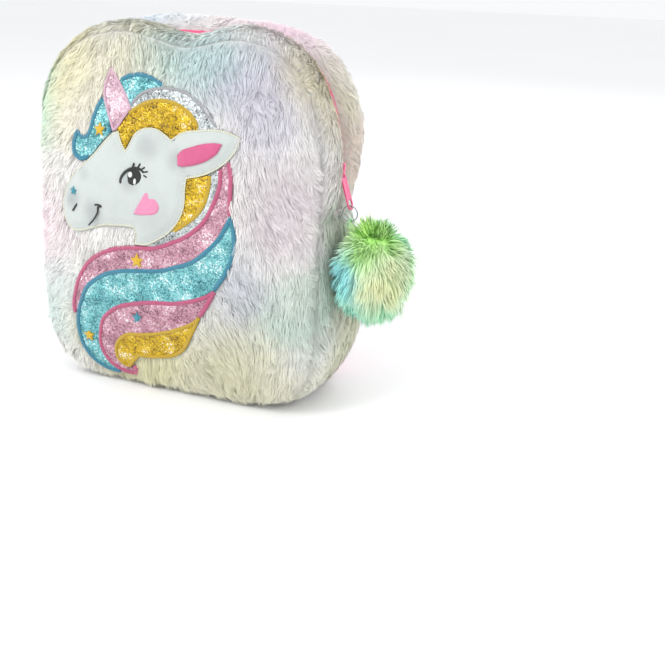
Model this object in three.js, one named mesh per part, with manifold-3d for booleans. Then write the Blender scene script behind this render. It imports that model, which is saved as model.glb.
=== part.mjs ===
// A child's plush backpack with a unicorn picture on the front.
// Millimetres, +Z up. The front faces -Y, the shoulder straps are on +Y, and the bag stands
// on z = 0 with its middle over the origin. The pompom hangs on the +X side.
import * as THREE from 'three';
import { TessellateModifier } from 'three/addons/modifiers/TessellateModifier.js';
import { mergeVertices } from 'three/addons/utils/BufferGeometryUtils.js';
import Module from 'manifold-3d';

const wasm = await Module();
wasm.setup();

// Bag
const HEIGHT = 276;
const SEAM_WIDTH = 232;
const SEAM_DEPTH = 76;
const SEAM_BASE = 5;
const FRONT_CROWN = 18;
const BACK_CROWN = 9;
const GUSSET_CROWN = 8;
const WALL = 8;
const GAP = 0.3;
const TOP_POWER = 3.6;
const BASE_POWER = 6;
const RADIAL_STEPS = 10;

// The soft bag's lean, taper, waist and the dip in its front top edge
const TAPER = 0.22;
const LEAN = 4;
const WAIST = 0.07;
const WAIST_HEIGHT = 0.54;
const WAIST_SPAN = 0.13;
const DIP = 10;
const DIP_X = 8;
const DIP_SPAN = 30;

// Fur
const PILE = 3;
const TUFT = 1.4;

// Zip
const ZIP_END = 0.53;
const ZIP_HALF = 5.5;
const TAPE_THICK = 1.5;
const TAPE_SINK = 1.8;
const CHAIN_HALF = 2.4;
const CHAIN_RISE = 1.2;
const SLIDER_HEIGHT = 0.645;
const SLIDER_LENGTH = 11;
const SLIDER_WIDTH = 9;
const SLIDER_SHELL = 1.6;
const SLIDER_BEVEL = 1.2;
const BRIDGE_RISE = 4;
const BRIDGE_LENGTH = 9.2;
const BRIDGE_THICK = 1.2;
const BRIDGE_WIDTH = 2.2;
const HINGE_OUT = 3.3;
const HINGE_DROP = 1.4;
const ZIP_TRIM = 1.2;
const TAB_LENGTH = 30;
const TAB_WIDTH = 9;
const TAB_THICK = 1;
const TAB_TILT = 17;
const TOP_HOLE = 2.25;
const LOW_HOLE = 3.1;
const HOLE_EDGE = 1.9;
const RING_RADIUS = 5.6;
const RING_WIRE = 0.6;
const LOOP_RADIUS = 3.4;
const LOOP_CORD = 1.6;
const POMPOM = { x: 151, y: -17, z: 113, wide: 34, tall: 42 };
const LOCK_DEPTH = 0.2;
const LOCK_DROOP = 3;
const POMPOM_CROWN = 0.35;
const LOOP_OVERLAP = 1.9;
const STEM = { wide: 2.4, thick: 2 };

// Straps, webbing and handle
const STRAP_WIDTH = 48;
const STRAP_THICK = 14;
const STRAP_SEAT = -0.5;
const STRAP_TUFT = 0.7;
const STRAP_END = 0.7;
const WEB_WIDTH = 19;
const WEB_THICK = 1.4;
const WEB_SEAT = 1.5;
const GLIDE = { wide: 27, tall: 24, thick: 3, bar: 3, middle: 3.5, corner: 4, drop: 4 };
const HANDLE_WIDTH = 20;
const HANDLE_SPAN = 60;
const HANDLE_REACH = 24;
const HANDLE_SEAT = 2.9;
const HANDLE_HEIGHT = 0.947;

// Picture
const PICTURE_HEIGHT = 231;
const PICTURE_X = -89;
const PICTURE_Z = 12;
const DRAWN_HEIGHT = 231;
const PATCH_LIFT = 0.6;
const PATCH_THICK = 1.3;
const PATCH_INSET = 0.35;
const HEAD_THICK = 2;
const PATCH_STEP = 8.5;
const PATCH_EDGE = 24;
const DETAIL_THICK = 0.8;

const SEAM_TOP = HEIGHT - GUSSET_CROWN;
const MID_Z = (SEAM_BASE + SEAM_TOP) / 2;
const HALF_WIDTH = SEAM_WIDTH / 2;
const HALF_TALL = (SEAM_TOP - SEAM_BASE) / 2;
const HALF_DEPTH = SEAM_DEPTH / 2;
const OUTLINE_POINTS = 8 * RADIAL_STEPS;

const COLOURS = {
  fur: '#dfe6dc', pink: '#f2578f', tape: '#ee5a8e', clear: '#f7b9cc', steel: '#b9bcc0',
  lime: '#b6efa6', white: '#f2f3f0', silver: '#c9ccd2', gold: '#dcb62a', turquoise: '#7ed3d2',
  rose: '#dc9ab4', horn: '#f0cbd8', ear: '#e0608f', black: '#1c1c1e', star: '#f0cf2d', blue: '#37a6bd',
};

const clamp01 = (v) => Math.min(1, Math.max(0, v));
const smooth = (v, from, to) => THREE.MathUtils.smoothstep(v, from, to);
const V = (x, y, z) => new THREE.Vector3(x, y, z);

// Solid building

// A mesh from points and triangles, turned so that its faces point outwards.
function solid(points, triangles) {
  let volume = 0;
  for (const [a, b, c] of triangles) {
    volume += points[a].dot(V().crossVectors(points[b], points[c]));
  }
  const order = volume < 0 ? [0, 2, 1] : [0, 1, 2];
  const geometry = new THREE.BufferGeometry();
  const flat = points.flatMap((p) => p.toArray());
  geometry.setAttribute('position', new THREE.Float32BufferAttribute(flat, 3));
  geometry.setIndex(triangles.flatMap((t) => order.map((k) => t[k])));
  return geometry;
}

// Collects points and triangles; each row of points is remembered by its indices.
class Builder {
  constructor() {
    this.points = [];
    this.triangles = [];
  }

  row(points) {
    return points.map((p) => this.points.push(p) - 1);
  }

  quad(a, b, c, d) {
    this.triangles.push([a, b, c], [a, c, d]);
  }

  // Joins two rows of the same length.
  strip(a, b) {
    for (let i = 0; i + 1 < a.length; i++) this.quad(a[i], a[i + 1], b[i + 1], b[i]);
  }

  // Joins two rows of different lengths that run the same way.
  zipper(a, b) {
    let i = 0;
    let j = 0;
    while (i + 1 < a.length || j + 1 < b.length) {
      const left = (i + 1) / (a.length - 1);
      const right = (j + 1) / (b.length - 1);
      if (j + 1 >= b.length || (i + 1 < a.length && left <= right)) {
        this.triangles.push([a[i], a[i + 1], b[j]]);
        i++;
      } else {
        this.triangles.push([a[i], b[j + 1], b[j]]);
        j++;
      }
    }
  }

  done() {
    return solid(this.points, this.triangles);
  }
}

// A tube through rings of points, with flat ends.
function rings(list) {
  const build = new Builder();
  const rows = list.map((ring) => build.row(ring));
  rows.slice(1).forEach((row, k) => build.strip([...rows[k], rows[k][0]], [...row, row[0]]));
  const last = rows[rows.length - 1];
  for (let i = 1; i + 1 < last.length; i++) {
    build.triangles.push([rows[0][0], rows[0][i + 1], rows[0][i]], [last[0], last[i], last[i + 1]]);
  }
  return build.done();
}

// Places evenly spaced frames along a curve. across gives the wanted width direction at t.
function frames(points, count, across) {
  const curve = new THREE.CatmullRomCurve3(points, false, 'centripetal');
  return Array.from({ length: count + 1 }, (_, i) => {
    const t = i / count;
    const along = curve.getTangentAt(t);
    const side = across(t).clone();
    side.addScaledVector(along, -side.dot(along)).normalize();
    const out = V().crossVectors(side, along);
    return { t, at: curve.getPointAt(t), along, side, out };
  });
}

// A flat woven ribbon along a curve.
function ribbon(points, width, thick, count, across) {
  return rings(frames(points, count, across).map(({ at, side, out }) => (
    [[-1, -1], [1, -1], [1, 1], [-1, 1]].map(([w, h]) => (
      at.clone().addScaledVector(side, w * width / 2).addScaledVector(out, h * thick / 2)))
  )));
}

function toManifold(geometry) {
  const bare = new THREE.BufferGeometry();
  bare.setAttribute('position', geometry.getAttribute('position').clone());
  if (geometry.index) bare.setIndex(geometry.index.clone());
  const merged = mergeVertices(bare, 1e-4);
  return new wasm.Manifold(new wasm.Mesh({
    numProp: 3,
    vertProperties: new Float32Array(merged.getAttribute('position').array),
    triVerts: new Uint32Array(merged.index.array),
  }));
}

function joined(geometries) {
  const { vertProperties, triVerts } = geometries.map(toManifold).reduce((a, b) => a.add(b)).getMesh();
  const geometry = new THREE.BufferGeometry();
  geometry.setAttribute('position', new THREE.Float32BufferAttribute(vertProperties, 3));
  geometry.setIndex(Array.from(triVerts));
  return geometry;
}

// The bag's outline and its soft shape

// Distance from the middle of the front to the seam, at an angle from +X towards +Z.
function seamRadius(angle) {
  const power = Math.sin(angle) > 0 ? TOP_POWER : BASE_POWER;
  const across = Math.abs(Math.cos(angle)) / HALF_WIDTH;
  const up = Math.abs(Math.sin(angle)) / HALF_TALL;
  return (across ** power + up ** power) ** (-1 / power);
}

function seamAtAngle(angle) {
  const radius = seamRadius(angle);
  return new THREE.Vector2(radius * Math.cos(angle), MID_Z + radius * Math.sin(angle));
}

// The seam by share of its length, from the middle of the bottom towards +X and round.
const SEAM = (() => {
  const count = 1440;
  const angle = (i) => -Math.PI / 2 + 2 * Math.PI * i / count;
  const points = Array.from({ length: count + 1 }, (_, i) => seamAtAngle(angle(i)));
  const lengths = [0];
  for (let i = 1; i <= count; i++) {
    lengths.push(lengths[i - 1] + points[i].distanceTo(points[i - 1]));
  }
  return { points, lengths, total: lengths[count] };
})();

function seamAt(share) {
  const wanted = (share - Math.floor(share)) * SEAM.total;
  let low = 0;
  let high = SEAM.lengths.length - 1;
  while (high - low > 1) {
    const middle = (low + high) >> 1;
    if (SEAM.lengths[middle] > wanted) high = middle;
    else low = middle;
  }
  const part = (wanted - SEAM.lengths[low]) / (SEAM.lengths[high] - SEAM.lengths[low]);
  return SEAM.points[low].clone().lerp(SEAM.points[high], part);
}

// The seam's outward normal, in the XZ plane.
function seamNormal(share) {
  const step = 0.002;
  const along = seamAt(share + step).sub(seamAt(share - step + 1));
  return new THREE.Vector2(along.y, -along.x).normalize();
}

// The share at which the seam passes a height on the +X side.
function shareAtHeight(z) {
  let low = 0;
  let high = 0.5;
  while (high - low > 1e-5) {
    const middle = (low + high) / 2;
    if (seamAt(middle).y < z) low = middle;
    else high = middle;
  }
  return low;
}

// How the filled bag settles: it leans, tapers upwards, pinches in behind the zip's ends,
// and its front top edge dips.
function settle(p) {
  const up = p.z / HEIGHT;
  const rear = clamp01(p.y / SEAM_DEPTH + 0.5);
  const waist = WAIST * Math.exp(-(((up - WAIST_HEIGHT) / WAIST_SPAN) ** 2)) * rear;
  const dip = Math.exp(-(((p.x - DIP_X) / DIP_SPAN) ** 2)) * smooth(up, 0.78, 0.97);
  return V(
    p.x * (1 - waist) + LEAN * up * up,
    p.y * (1 + TAPER * (0.5 - up)),
    p.z - DIP * dip * (1 - smooth(rear, 0.3, 0.5)),
  );
}

// How far a pillow shaped panel bulges, from 1 at its middle to 0 at its seam.
function bulge(u) {
  return (1 - Math.min(1, u) ** 2.4) ** 0.6;
}

// 1 under the picture, 0 in the open fur round it.
function trimmed(x, z) {
  const across = Math.abs(x - PICTURE_X - PICTURE_HEIGHT * 0.33) / (PICTURE_HEIGHT * 0.38);
  const up = Math.abs(z - PICTURE_Z - PICTURE_HEIGHT * 0.5) / (PICTURE_HEIGHT * 0.56);
  return 1 - smooth((across ** 4 + up ** 4) ** 0.25, 1, 1.12);
}

// How far a point lies from the panel's middle, as a share of the way to the seam.
function seamShare(x, z) {
  return Math.min(0.998, Math.hypot(x, z - MID_Z) / seamRadius(Math.atan2(z - MID_Z, x)));
}

// A point on the tips of the back panel's fur, moved outwards by h.
function onBack(x, z, h) {
  const u = seamShare(x, z);
  const y = HALF_DEPTH + BACK_CROWN * bulge(u) + (PILE + TUFT) * (1 - u ** 8);
  return settle(V(x, y, z)).add(V(0, h, 0));
}

// The front panel's surface before it settles, h above the cloth that the picture lies on.
function frontPoint(x, z, h = 0) {
  const depth = (px, pz) => -HALF_DEPTH - FRONT_CROWN * bulge(seamShare(px, pz));
  const y = depth(x, z);
  const slopeX = depth(x + 1, z) - depth(x - 1, z);
  const slopeZ = depth(x, z + 1) - depth(x, z - 1);
  const normal = V(slopeX, -2, slopeZ).normalize();
  return V(x, y, z).addScaledVector(normal, h);
}

// Furry panels

// The share of the seam that a point on the unit square's edge stands for.
function squareShare(a, b) {
  if (b <= -1 && a >= 0) return a / 8;
  if (a >= 1) return (2 + b) / 8;
  if (b >= 1) return (4 - a) / 8;
  if (a <= -1) return (6 - b) / 8;
  return (8 + a) / 8;
}

// A panel closed by its seam. side is -1 for the front and 1 for the back.
function panel(side, crown) {
  const build = new Builder();
  const steps = 2 * RADIAL_STEPS;
  const centre = new THREE.Vector2(0, MID_Z);
  const place = (share, u, depth) => {
    const flat = seamAt(share).sub(centre).multiplyScalar(u).add(centre);
    return V(flat.x, side * depth, flat.y);
  };
  const grid = Array.from({ length: steps + 1 }, (_, i) => build.row(
    Array.from({ length: steps + 1 }, (__, j) => {
      const a = 2 * i / steps - 1;
      const b = 2 * j / steps - 1;
      const ring = Math.max(Math.abs(a), Math.abs(b));
      const share = ring > 0 ? squareShare(a / ring, b / ring) : 0;
      const u = 1 - (1 - ring) ** 1.35;
      const point = place(share, u, HALF_DEPTH + crown * bulge(u));
      if (ring < 1) {
        const bare = side < 0 ? trimmed(point.x, point.z) : 0;
        const tuft = (i + j) % 2 ? TUFT : -TUFT;
        const open = (1 - bare) * (1 - u ** 8);
        point.y += side * open * (PILE + tuft);
        point.z -= open * tuft;
      }
      return settle(point);
    }),
  ));
  for (let i = 0; i < steps; i++) build.strip(grid[i], grid[i + 1]);
  const edge = Array.from({ length: OUTLINE_POINTS + 1 }, (_, k) => {
    const run = (k + RADIAL_STEPS) % OUTLINE_POINTS;
    const leg = Math.floor(run / steps);
    const rest = run % steps;
    if (leg === 0) return grid[rest][0];
    if (leg === 1) return grid[steps][rest];
    if (leg === 2) return grid[steps - rest][steps];
    return grid[0][steps - rest];
  });
  const inner = [1, 0.84, 0.5].map((u) => {
    const row = build.row(Array.from({ length: OUTLINE_POINTS }, (_, k) => {
      const share = k / OUTLINE_POINTS;
      const normal = seamNormal(share);
      const rim = seamAt(share).addScaledVector(normal, -WALL).sub(centre).multiplyScalar(u).add(centre);
      return settle(V(rim.x, side * (HALF_DEPTH + (crown - WALL) * bulge(u)), rim.y));
    }));
    return [...row, row[0]];
  });
  build.strip(edge, inner[0]);
  build.strip(inner[0], inner[1]);
  build.strip(inner[1], inner[2]);
  const [hub] = build.row([settle(V(0, side * (HALF_DEPTH + crown - WALL), MID_Z))]);
  for (let k = 0; k < OUTLINE_POINTS; k++) {
    build.triangles.push([inner[2][k], inner[2][k + 1], hub]);
  }
  return build.done();
}

// A strip of the gusset. from and to are shares of the seam, near and far its edges along Y,
// and rise its bulge; sink lowers it at q, from -1 to 1 across.
function band({ from, to, near, far, rise, columns, innerColumns, sink = () => 0 }) {
  const build = new Builder();
  const count = Math.round((to - from) * OUTLINE_POINTS);
  const rounded = (q) => (1 - Math.abs(q) ** 2.2) ** 0.6;
  const line = (i, cols, inside) => Array.from({ length: cols + 1 }, (_, j) => {
    const share = from + (to - from) * i / count;
    const q = 2 * j / cols - 1;
    const tuck = 1 - 0.55 * Math.exp(-Math.min(i, count - i) * 1.1);
    const seam = seamAt(share);
    const normal = seamNormal(share);
    const swell = rise * rounded(q) * tuck - sink(q);
    const edge = i === 0 || i === count || j === 0 || j === cols;
    const open = inside || edge ? 0 : smooth(seam.y, 8, 30);
    const lift = inside ? swell - WALL : swell + open * ((i + j) % 2 ? TUFT : -TUFT);
    const p = V(seam.x + normal.x * lift, near + (far - near) * j / cols, seam.y + normal.y * lift);
    p.z = Math.max(p.z, 0);
    return settle(p);
  });
  const outer = [];
  const inner = [];
  for (let i = 0; i <= count; i++) {
    outer.push(build.row(line(i, columns, false)));
    inner.push(build.row(line(i, innerColumns, true)));
  }
  for (let i = 0; i < count; i++) {
    build.strip(outer[i], outer[i + 1]);
    build.strip([...inner[i]].reverse(), [...inner[i + 1]].reverse());
  }
  const firstOuter = outer.map((row) => row[0]);
  const lastOuter = outer.map((row) => row[columns]);
  const firstInner = inner.map((row) => row[0]);
  const lastInner = inner.map((row) => row[innerColumns]);
  build.strip(firstOuter, firstInner);
  build.strip(lastInner, lastOuter);
  build.zipper([...outer[0]].reverse(), [...inner[0]].reverse());
  build.zipper(outer[count], inner[count]);
  return build.done();
}

// The zip ends at this share of the seam, and the lower gusset fills the rest.
const SPLIT = shareAtHeight(ZIP_END * HEIGHT);
const SPLIT_GAP = GAP / 2 / SEAM.total;
const EDGE = HALF_DEPTH - GAP;

function lowerGusset() {
  return band({
    from: -SPLIT + SPLIT_GAP, to: SPLIT - SPLIT_GAP, near: -EDGE, far: EDGE, rise: GUSSET_CROWN,
    columns: 7, innerColumns: 3,
  });
}

function zipStrip(side) {
  const inner = ZIP_HALF;
  const near = side < 0 ? -EDGE : inner;
  const far = side < 0 ? -inner : EDGE;
  const zipEdge = side < 0 ? 1 : -1;
  return band({
    from: SPLIT + SPLIT_GAP, to: 1 - SPLIT - SPLIT_GAP, near, far, rise: GUSSET_CROWN,
    columns: 4, innerColumns: 2, sink: (q) => Math.max(0, q * zipEdge) ** 3,
  });
}

// Zip

// A bar that follows the zip: corners are [y, rise] pairs round its section.
function alongZip(corners) {
  const trim = ZIP_TRIM / SEAM.total;
  const from = SPLIT + trim;
  const to = 1 - SPLIT - trim;
  const count = Math.round((to - from) * OUTLINE_POINTS);
  return rings(Array.from({ length: count + 1 }, (_, i) => {
    const share = from + (to - from) * i / count;
    const seam = seamAt(share);
    const normal = seamNormal(share);
    const place = ([y, rise]) => settle(V(seam.x + normal.x * rise, y, seam.y + normal.y * rise));
    return corners.map(place);
  }));
}

const TAPE_TOP = -TAPE_SINK;

function zipTape(side) {
  const near = side * (CHAIN_HALF + GAP);
  const far = side * (ZIP_HALF - GAP);
  const low = TAPE_TOP - TAPE_THICK;
  return alongZip([[near, low], [far, low], [far, TAPE_TOP], [near, TAPE_TOP]]);
}

function zipChain() {
  const top = TAPE_TOP + CHAIN_RISE;
  const low = TAPE_TOP - TAPE_THICK;
  const flat = CHAIN_HALF * 0.6;
  return alongZip([[-CHAIN_HALF, low], [CHAIN_HALF, low], [flat, top], [-flat, top]]);
}

// The slider's place: its middle on the chain, with x outwards, y across and z up the zip.
const SLIDER = (() => {
  const share = shareAtHeight(SLIDER_HEIGHT * HEIGHT);
  const at = (rise, along) => {
    const s = share + along / SEAM.total;
    const seam = seamAt(s);
    const normal = seamNormal(s);
    return settle(V(seam.x + normal.x * rise, 0, seam.y + normal.y * rise));
  };
  const rise = TAPE_TOP + CHAIN_RISE;
  const middle = at(rise, 0);
  const up = at(rise, SLIDER_LENGTH / 2).sub(at(rise, -SLIDER_LENGTH / 2)).normalize();
  const out = V().crossVectors(V(0, 1, 0), up).normalize();
  return { middle, matrix: new THREE.Matrix4().makeBasis(out, V(0, 1, 0), up).setPosition(middle) };
})();

function extruded(shape, depth, segments = 6) {
  return new THREE.ExtrudeGeometry(shape, { depth, bevelEnabled: false, curveSegments: segments });
}

function zipSlider() {
  const half = SLIDER_WIDTH / 2;
  const inner = CHAIN_HALF + GAP;
  const skirt = -CHAIN_RISE + 2 * GAP;
  const top = GAP + SLIDER_SHELL;
  const shoulder = top - SLIDER_BEVEL;
  const section = new THREE.Shape([
    [GAP, -inner], [GAP, inner], [skirt, inner], [skirt, half], [shoulder, half],
    [top, half - SLIDER_BEVEL], [top, SLIDER_BEVEL - half], [shoulder, -half], [skirt, -half],
    [skirt, -inner],
  ].map(([x, y]) => new THREE.Vector2(x, y)));
  const body = extruded(section, SLIDER_LENGTH).translate(0, 0, -SLIDER_LENGTH / 2);
  const sunk = top - BRIDGE_THICK / 3;
  const ridge = top + BRIDGE_RISE;
  const outside = BRIDGE_LENGTH / 2;
  const inside = outside - BRIDGE_THICK;
  const leg = new THREE.Shape([
    [sunk, outside], [ridge - BRIDGE_THICK, outside], [ridge, inside], [ridge, -inside],
    [ridge - BRIDGE_THICK, -outside], [sunk, -outside], [sunk, -inside],
    [ridge - BRIDGE_THICK, -inside], [ridge - BRIDGE_THICK, inside], [sunk, inside],
  ].map(([x, y]) => new THREE.Vector2(x, y)));
  const bridge = extruded(leg, BRIDGE_WIDTH).rotateX(Math.PI / 2).translate(0, BRIDGE_WIDTH / 2, 0);
  return joined([body, bridge]).applyMatrix4(SLIDER.matrix);
}

// The tab's end bar lies under the bridge; the hinge axis runs through it along Y.
const HINGE = SLIDER.middle.clone().add(V(HINGE_OUT, 0, -HINGE_DROP));

// The pull hangs from the hinge: its own x runs along the hinge and its y down the tab.
const PULL = (() => {
  const tilt = THREE.MathUtils.degToRad(TAB_TILT);
  const down = V(Math.sin(tilt), 0, -Math.cos(tilt));
  const across = V(0, 1, 0);
  const face = V().crossVectors(across, down);
  return { down, matrix: new THREE.Matrix4().makeBasis(across, down, face).setPosition(HINGE) };
})();
const TAB_TOP = -0.95;
const LOW_HOLE_AT = TAB_TOP + TAB_LENGTH - HOLE_EDGE - LOW_HOLE;
const RING_DROP = LOW_HOLE_AT + LOW_HOLE - RING_WIRE - 0.7;

function pullTab() {
  const half = TAB_WIDTH / 2;
  const narrow = half - 0.9;
  const end = TAB_TOP + TAB_LENGTH;
  const shape = new THREE.Shape();
  shape.moveTo(-narrow, TAB_TOP + narrow);
  shape.absarc(0, TAB_TOP + narrow, narrow, Math.PI, 2 * Math.PI);
  shape.absarc(0, end - half, half, 0, Math.PI);
  for (const [at, radius] of [[TAB_TOP + HOLE_EDGE + TOP_HOLE, TOP_HOLE], [LOW_HOLE_AT, LOW_HOLE]]) {
    shape.holes.push(new THREE.Path().absarc(0, at, radius, 0, 2 * Math.PI, true));
  }
  return extruded(shape, TAB_THICK, 7).translate(0, 0, -TAB_THICK / 2).applyMatrix4(PULL.matrix);
}

const RING_TOP = HINGE.clone().addScaledVector(PULL.down, RING_DROP);
const RING_MIDDLE = RING_TOP.clone().add(V(0, 0, -RING_RADIUS));

function splitRing() {
  return new THREE.TorusGeometry(RING_RADIUS, RING_WIRE, 6, 18).rotateX(Math.PI / 2)
    .translate(RING_MIDDLE.x, RING_MIDDLE.y, RING_MIDDLE.z);
}

// Long fur in pointed locks on one head, with the small loop that hangs on the ring.
function pompom() {
  const raw = mergeVertices(bareIcosahedron(5), 1e-3);
  const tips = bareIcosahedron(2);
  const tipKeys = new Set();
  const key = (p) => p.toArray().map((c) => Math.round(c * 100)).join();
  const p = V();
  for (let i = 0; i < tips.getAttribute('position').count; i++) {
    tipKeys.add(key(p.fromBufferAttribute(tips.getAttribute('position'), i)));
  }
  const position = raw.getAttribute('position');
  const wall = HALF_WIDTH + GUSSET_CROWN + GAP;
  for (let i = 0; i < position.count; i++) {
    p.fromBufferAttribute(position, i);
    const tip = tipKeys.has(key(p));
    const reach = tip ? 1 : 1 - LOCK_DEPTH;
    const x = POMPOM.x + p.x * POMPOM.wide * reach;
    const y = POMPOM.y + p.y * POMPOM.wide * reach;
    const z = POMPOM.z + p.z * POMPOM.tall * reach - (tip ? LOCK_DROOP : 0);
    position.setXYZ(i, Math.max(x, wall + 0.06 * Math.abs(x - POMPOM.x)), y, z);
  }
  const loopMiddle = RING_MIDDLE.clone().add(V(0, 0, LOOP_OVERLAP - RING_RADIUS - LOOP_RADIUS));
  const loop = new THREE.TorusGeometry(LOOP_RADIUS, LOOP_CORD / 2, 6, 12)
    .rotateY(Math.PI / 2).translate(loopMiddle.x, loopMiddle.y, loopMiddle.z);
  const foot = loopMiddle.clone().add(V(0, 0, -LOOP_RADIUS));
  const crown = V(POMPOM.x, POMPOM.y, POMPOM.z + POMPOM.tall * POMPOM_CROWN);
  const line = [foot, crown.clone().lerp(foot, 0.5), crown];
  const stem = ribbon(line, STEM.wide, STEM.thick, 3, () => V(0, 1, 0));
  return joined([raw, loop, stem]);
}

function bareIcosahedron(detail) {
  const geometry = new THREE.IcosahedronGeometry(1, detail);
  geometry.deleteAttribute('normal');
  geometry.deleteAttribute('uv');
  return geometry;
}

// Straps

// The +X strap's middle line: x and z as shares of the bag's half width and height, and off,
// its distance out from its seat on the back, as a share of the bag's half depth.
const STRAP_LINE = [
  { x: 0.30, off: 0, z: 0.895 },
  { x: 0.34, off: 0.49, z: 0.80 },
  { x: 0.41, off: 0.87, z: 0.68 },
  { x: 0.49, off: 0.96, z: 0.55 },
  { x: 0.56, off: 0.83, z: 0.43 },
  { x: 0.60, off: 0.66, z: 0.345 },
];

function strapFrames(side, count) {
  const [top] = STRAP_LINE;
  const seat = onBack(side * top.x * HALF_WIDTH, top.z * HEIGHT, STRAP_THICK / 2 + STRAP_SEAT).y;
  const points = STRAP_LINE.map(({ x, off, z }) => (
    V(side * x * HALF_WIDTH, seat + off * HALF_DEPTH, z * HEIGHT)));
  return frames(points, count, () => V(-side, 0, 0));
}

function strap(side) {
  const around = 12;
  const count = 16;
  return rings(strapFrames(side, count).map(({ t, at, side: across, out }, i) => {
    const end = 1 - (1 - STRAP_END) * smooth(t, 0.86, 1) ** 2;
    return Array.from({ length: around }, (_, k) => {
      const angle = 2 * Math.PI * k / around;
      const c = Math.cos(angle);
      const s = Math.sin(angle);
      const tuft = i > 0 && i < count ? ((i + k) % 2 ? STRAP_TUFT : -STRAP_TUFT) : 0;
      const wide = Math.sign(c) * Math.abs(c) ** 0.7 * (STRAP_WIDTH / 2) * end;
      const thick = Math.sign(s) * Math.abs(s) ** 0.7 * (STRAP_THICK / 2);
      return at.clone().addScaledVector(across, wide + tuft * c).addScaledVector(out, thick + tuft * s);
    });
  }));
}

// The slide buckle's place below the strap's end: x along its bars, y down, z away from the bag.
function glideFrame(side) {
  const last = strapFrames(side, 16)[16];
  const down = last.along;
  const bars = V(1, 0, 0).addScaledVector(down, -down.x).normalize();
  const off = V().crossVectors(bars, down);
  const away = off.y > 0 ? 1 : -1;
  const at = last.at.clone().addScaledVector(down, GLIDE.tall / 2 + GLIDE.drop);
  return { at, down, bars, off: off.multiplyScalar(away) };
}

function inGlide({ at, down, off }, d, n) {
  return at.clone().addScaledVector(down, d).addScaledVector(off, n);
}

function triGlide(side) {
  const frame = glideFrame(side);
  const half = GLIDE.wide / 2;
  const tall = GLIDE.tall / 2;
  const r = GLIDE.corner;
  const shape = new THREE.Shape();
  shape.moveTo(-half + r, -tall);
  shape.absarc(half - r, -tall + r, r, -Math.PI / 2, 0);
  shape.absarc(half - r, tall - r, r, 0, Math.PI / 2);
  shape.absarc(-half + r, tall - r, r, Math.PI / 2, Math.PI);
  shape.absarc(-half + r, -tall + r, r, Math.PI, Math.PI * 1.5);
  const slot = WEB_WIDTH / 2 + 1;
  for (const s of [-1, 1]) {
    const from = s * GLIDE.middle / 2;
    const to = s * (tall - GLIDE.bar);
    const corners = [[-slot, from], [slot, from], [slot, to], [-slot, to]];
    shape.holes.push(new THREE.Path(corners.map(([x, y]) => new THREE.Vector2(x, y))));
  }
  const up = V().crossVectors(frame.off, frame.bars);
  const basis = new THREE.Matrix4().makeBasis(frame.bars, up, frame.off).setPosition(frame.at);
  return extruded(shape, GLIDE.thick, 3).translate(0, 0, -GLIDE.thick / 2).applyMatrix4(basis);
}

// The strap's own short loop, round the buckle's top bar.
function strapTab(side) {
  const frame = glideFrame(side);
  const clear = GLIDE.thick / 2 + WEB_THICK / 2 + 2 * GAP;
  const top = -GLIDE.tall / 2;
  const turn = top + GLIDE.bar + 2 * GAP + WEB_THICK / 2;
  const half = [[top - 3.6, 1], [top, 1], [turn - 1.2, 1], [turn - 0.1, 0.7]];
  const line = [...half, [turn, 0], ...half.map(([d, n]) => [d, -n]).reverse()]
    .map(([d, n]) => [d, n * clear]);
  return ribbon(line.map(([d, n]) => inGlide(frame, d, n)), WEB_WIDTH, WEB_THICK, 12, () => frame.bars);
}

// The webbing's foot is sewn into the bottom corner of the back.
const WEB_FOOT = { x: 0.76, z: 0.055 };

function webbing(side) {
  const frame = glideFrame(side);
  const n = GLIDE.thick / 2 + WEB_THICK / 2 + GAP + 0.3;
  const foot = onBack(side * WEB_FOOT.x * HALF_WIDTH, WEB_FOOT.z * HEIGHT, WEB_SEAT);
  const at = (d, h) => inGlide(frame, d, h);
  const slotMiddle = -GLIDE.middle / 2 - 2.4;
  const mix = (a, b, t, out) => a.clone().lerp(b, t).add(V(0, out, 0));
  const points = [
    foot.clone(), mix(foot, at(14, -n), 0.5, 1), at(14, -n - 0.6), at(4, -n),
    at(slotMiddle + 1.2, -n), at(slotMiddle, -n * 0.4), at(slotMiddle, n * 0.4), at(slotMiddle + 1.2, n),
    at(4, n), at(14, n + 1.2), mix(at(14, n), foot, 0.4, 16), mix(at(14, n), foot, 0.75, 15),
    foot.clone().add(V(0, WEB_THICK + 2.6, 1)),
  ];
  const tilt = side * 0.45;
  const footAcross = V(Math.cos(tilt), 0, Math.sin(tilt));
  return ribbon(points, WEB_WIDTH, WEB_THICK, 38, (t) => {
    const away = Math.min(1, Math.abs(t - 0.5) * 2.4) ** 2;
    return frame.bars.clone().lerp(footAcross, away);
  });
}

// The handle's middle line: x as a share of its half span, off of its reach behind the back.
const HANDLE_LINE = [
  [-1, 0], [-0.94, 0.27], [-0.62, 0.76], [0, 1], [0.62, 0.76], [0.94, 0.27], [1, 0],
];

function carryHandle() {
  const z = HANDLE_HEIGHT * HEIGHT;
  const seat = onBack(HANDLE_SPAN / 2, z, HANDLE_SEAT).y;
  const points = HANDLE_LINE.map(([x, off]) => (
    V(x * HANDLE_SPAN / 2 + LEAN, seat + off * HANDLE_REACH, z)));
  return ribbon(points, HANDLE_WIDTH, WEB_THICK, 20, () => V(0, -0.3, 1));
}

// Picture

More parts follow.
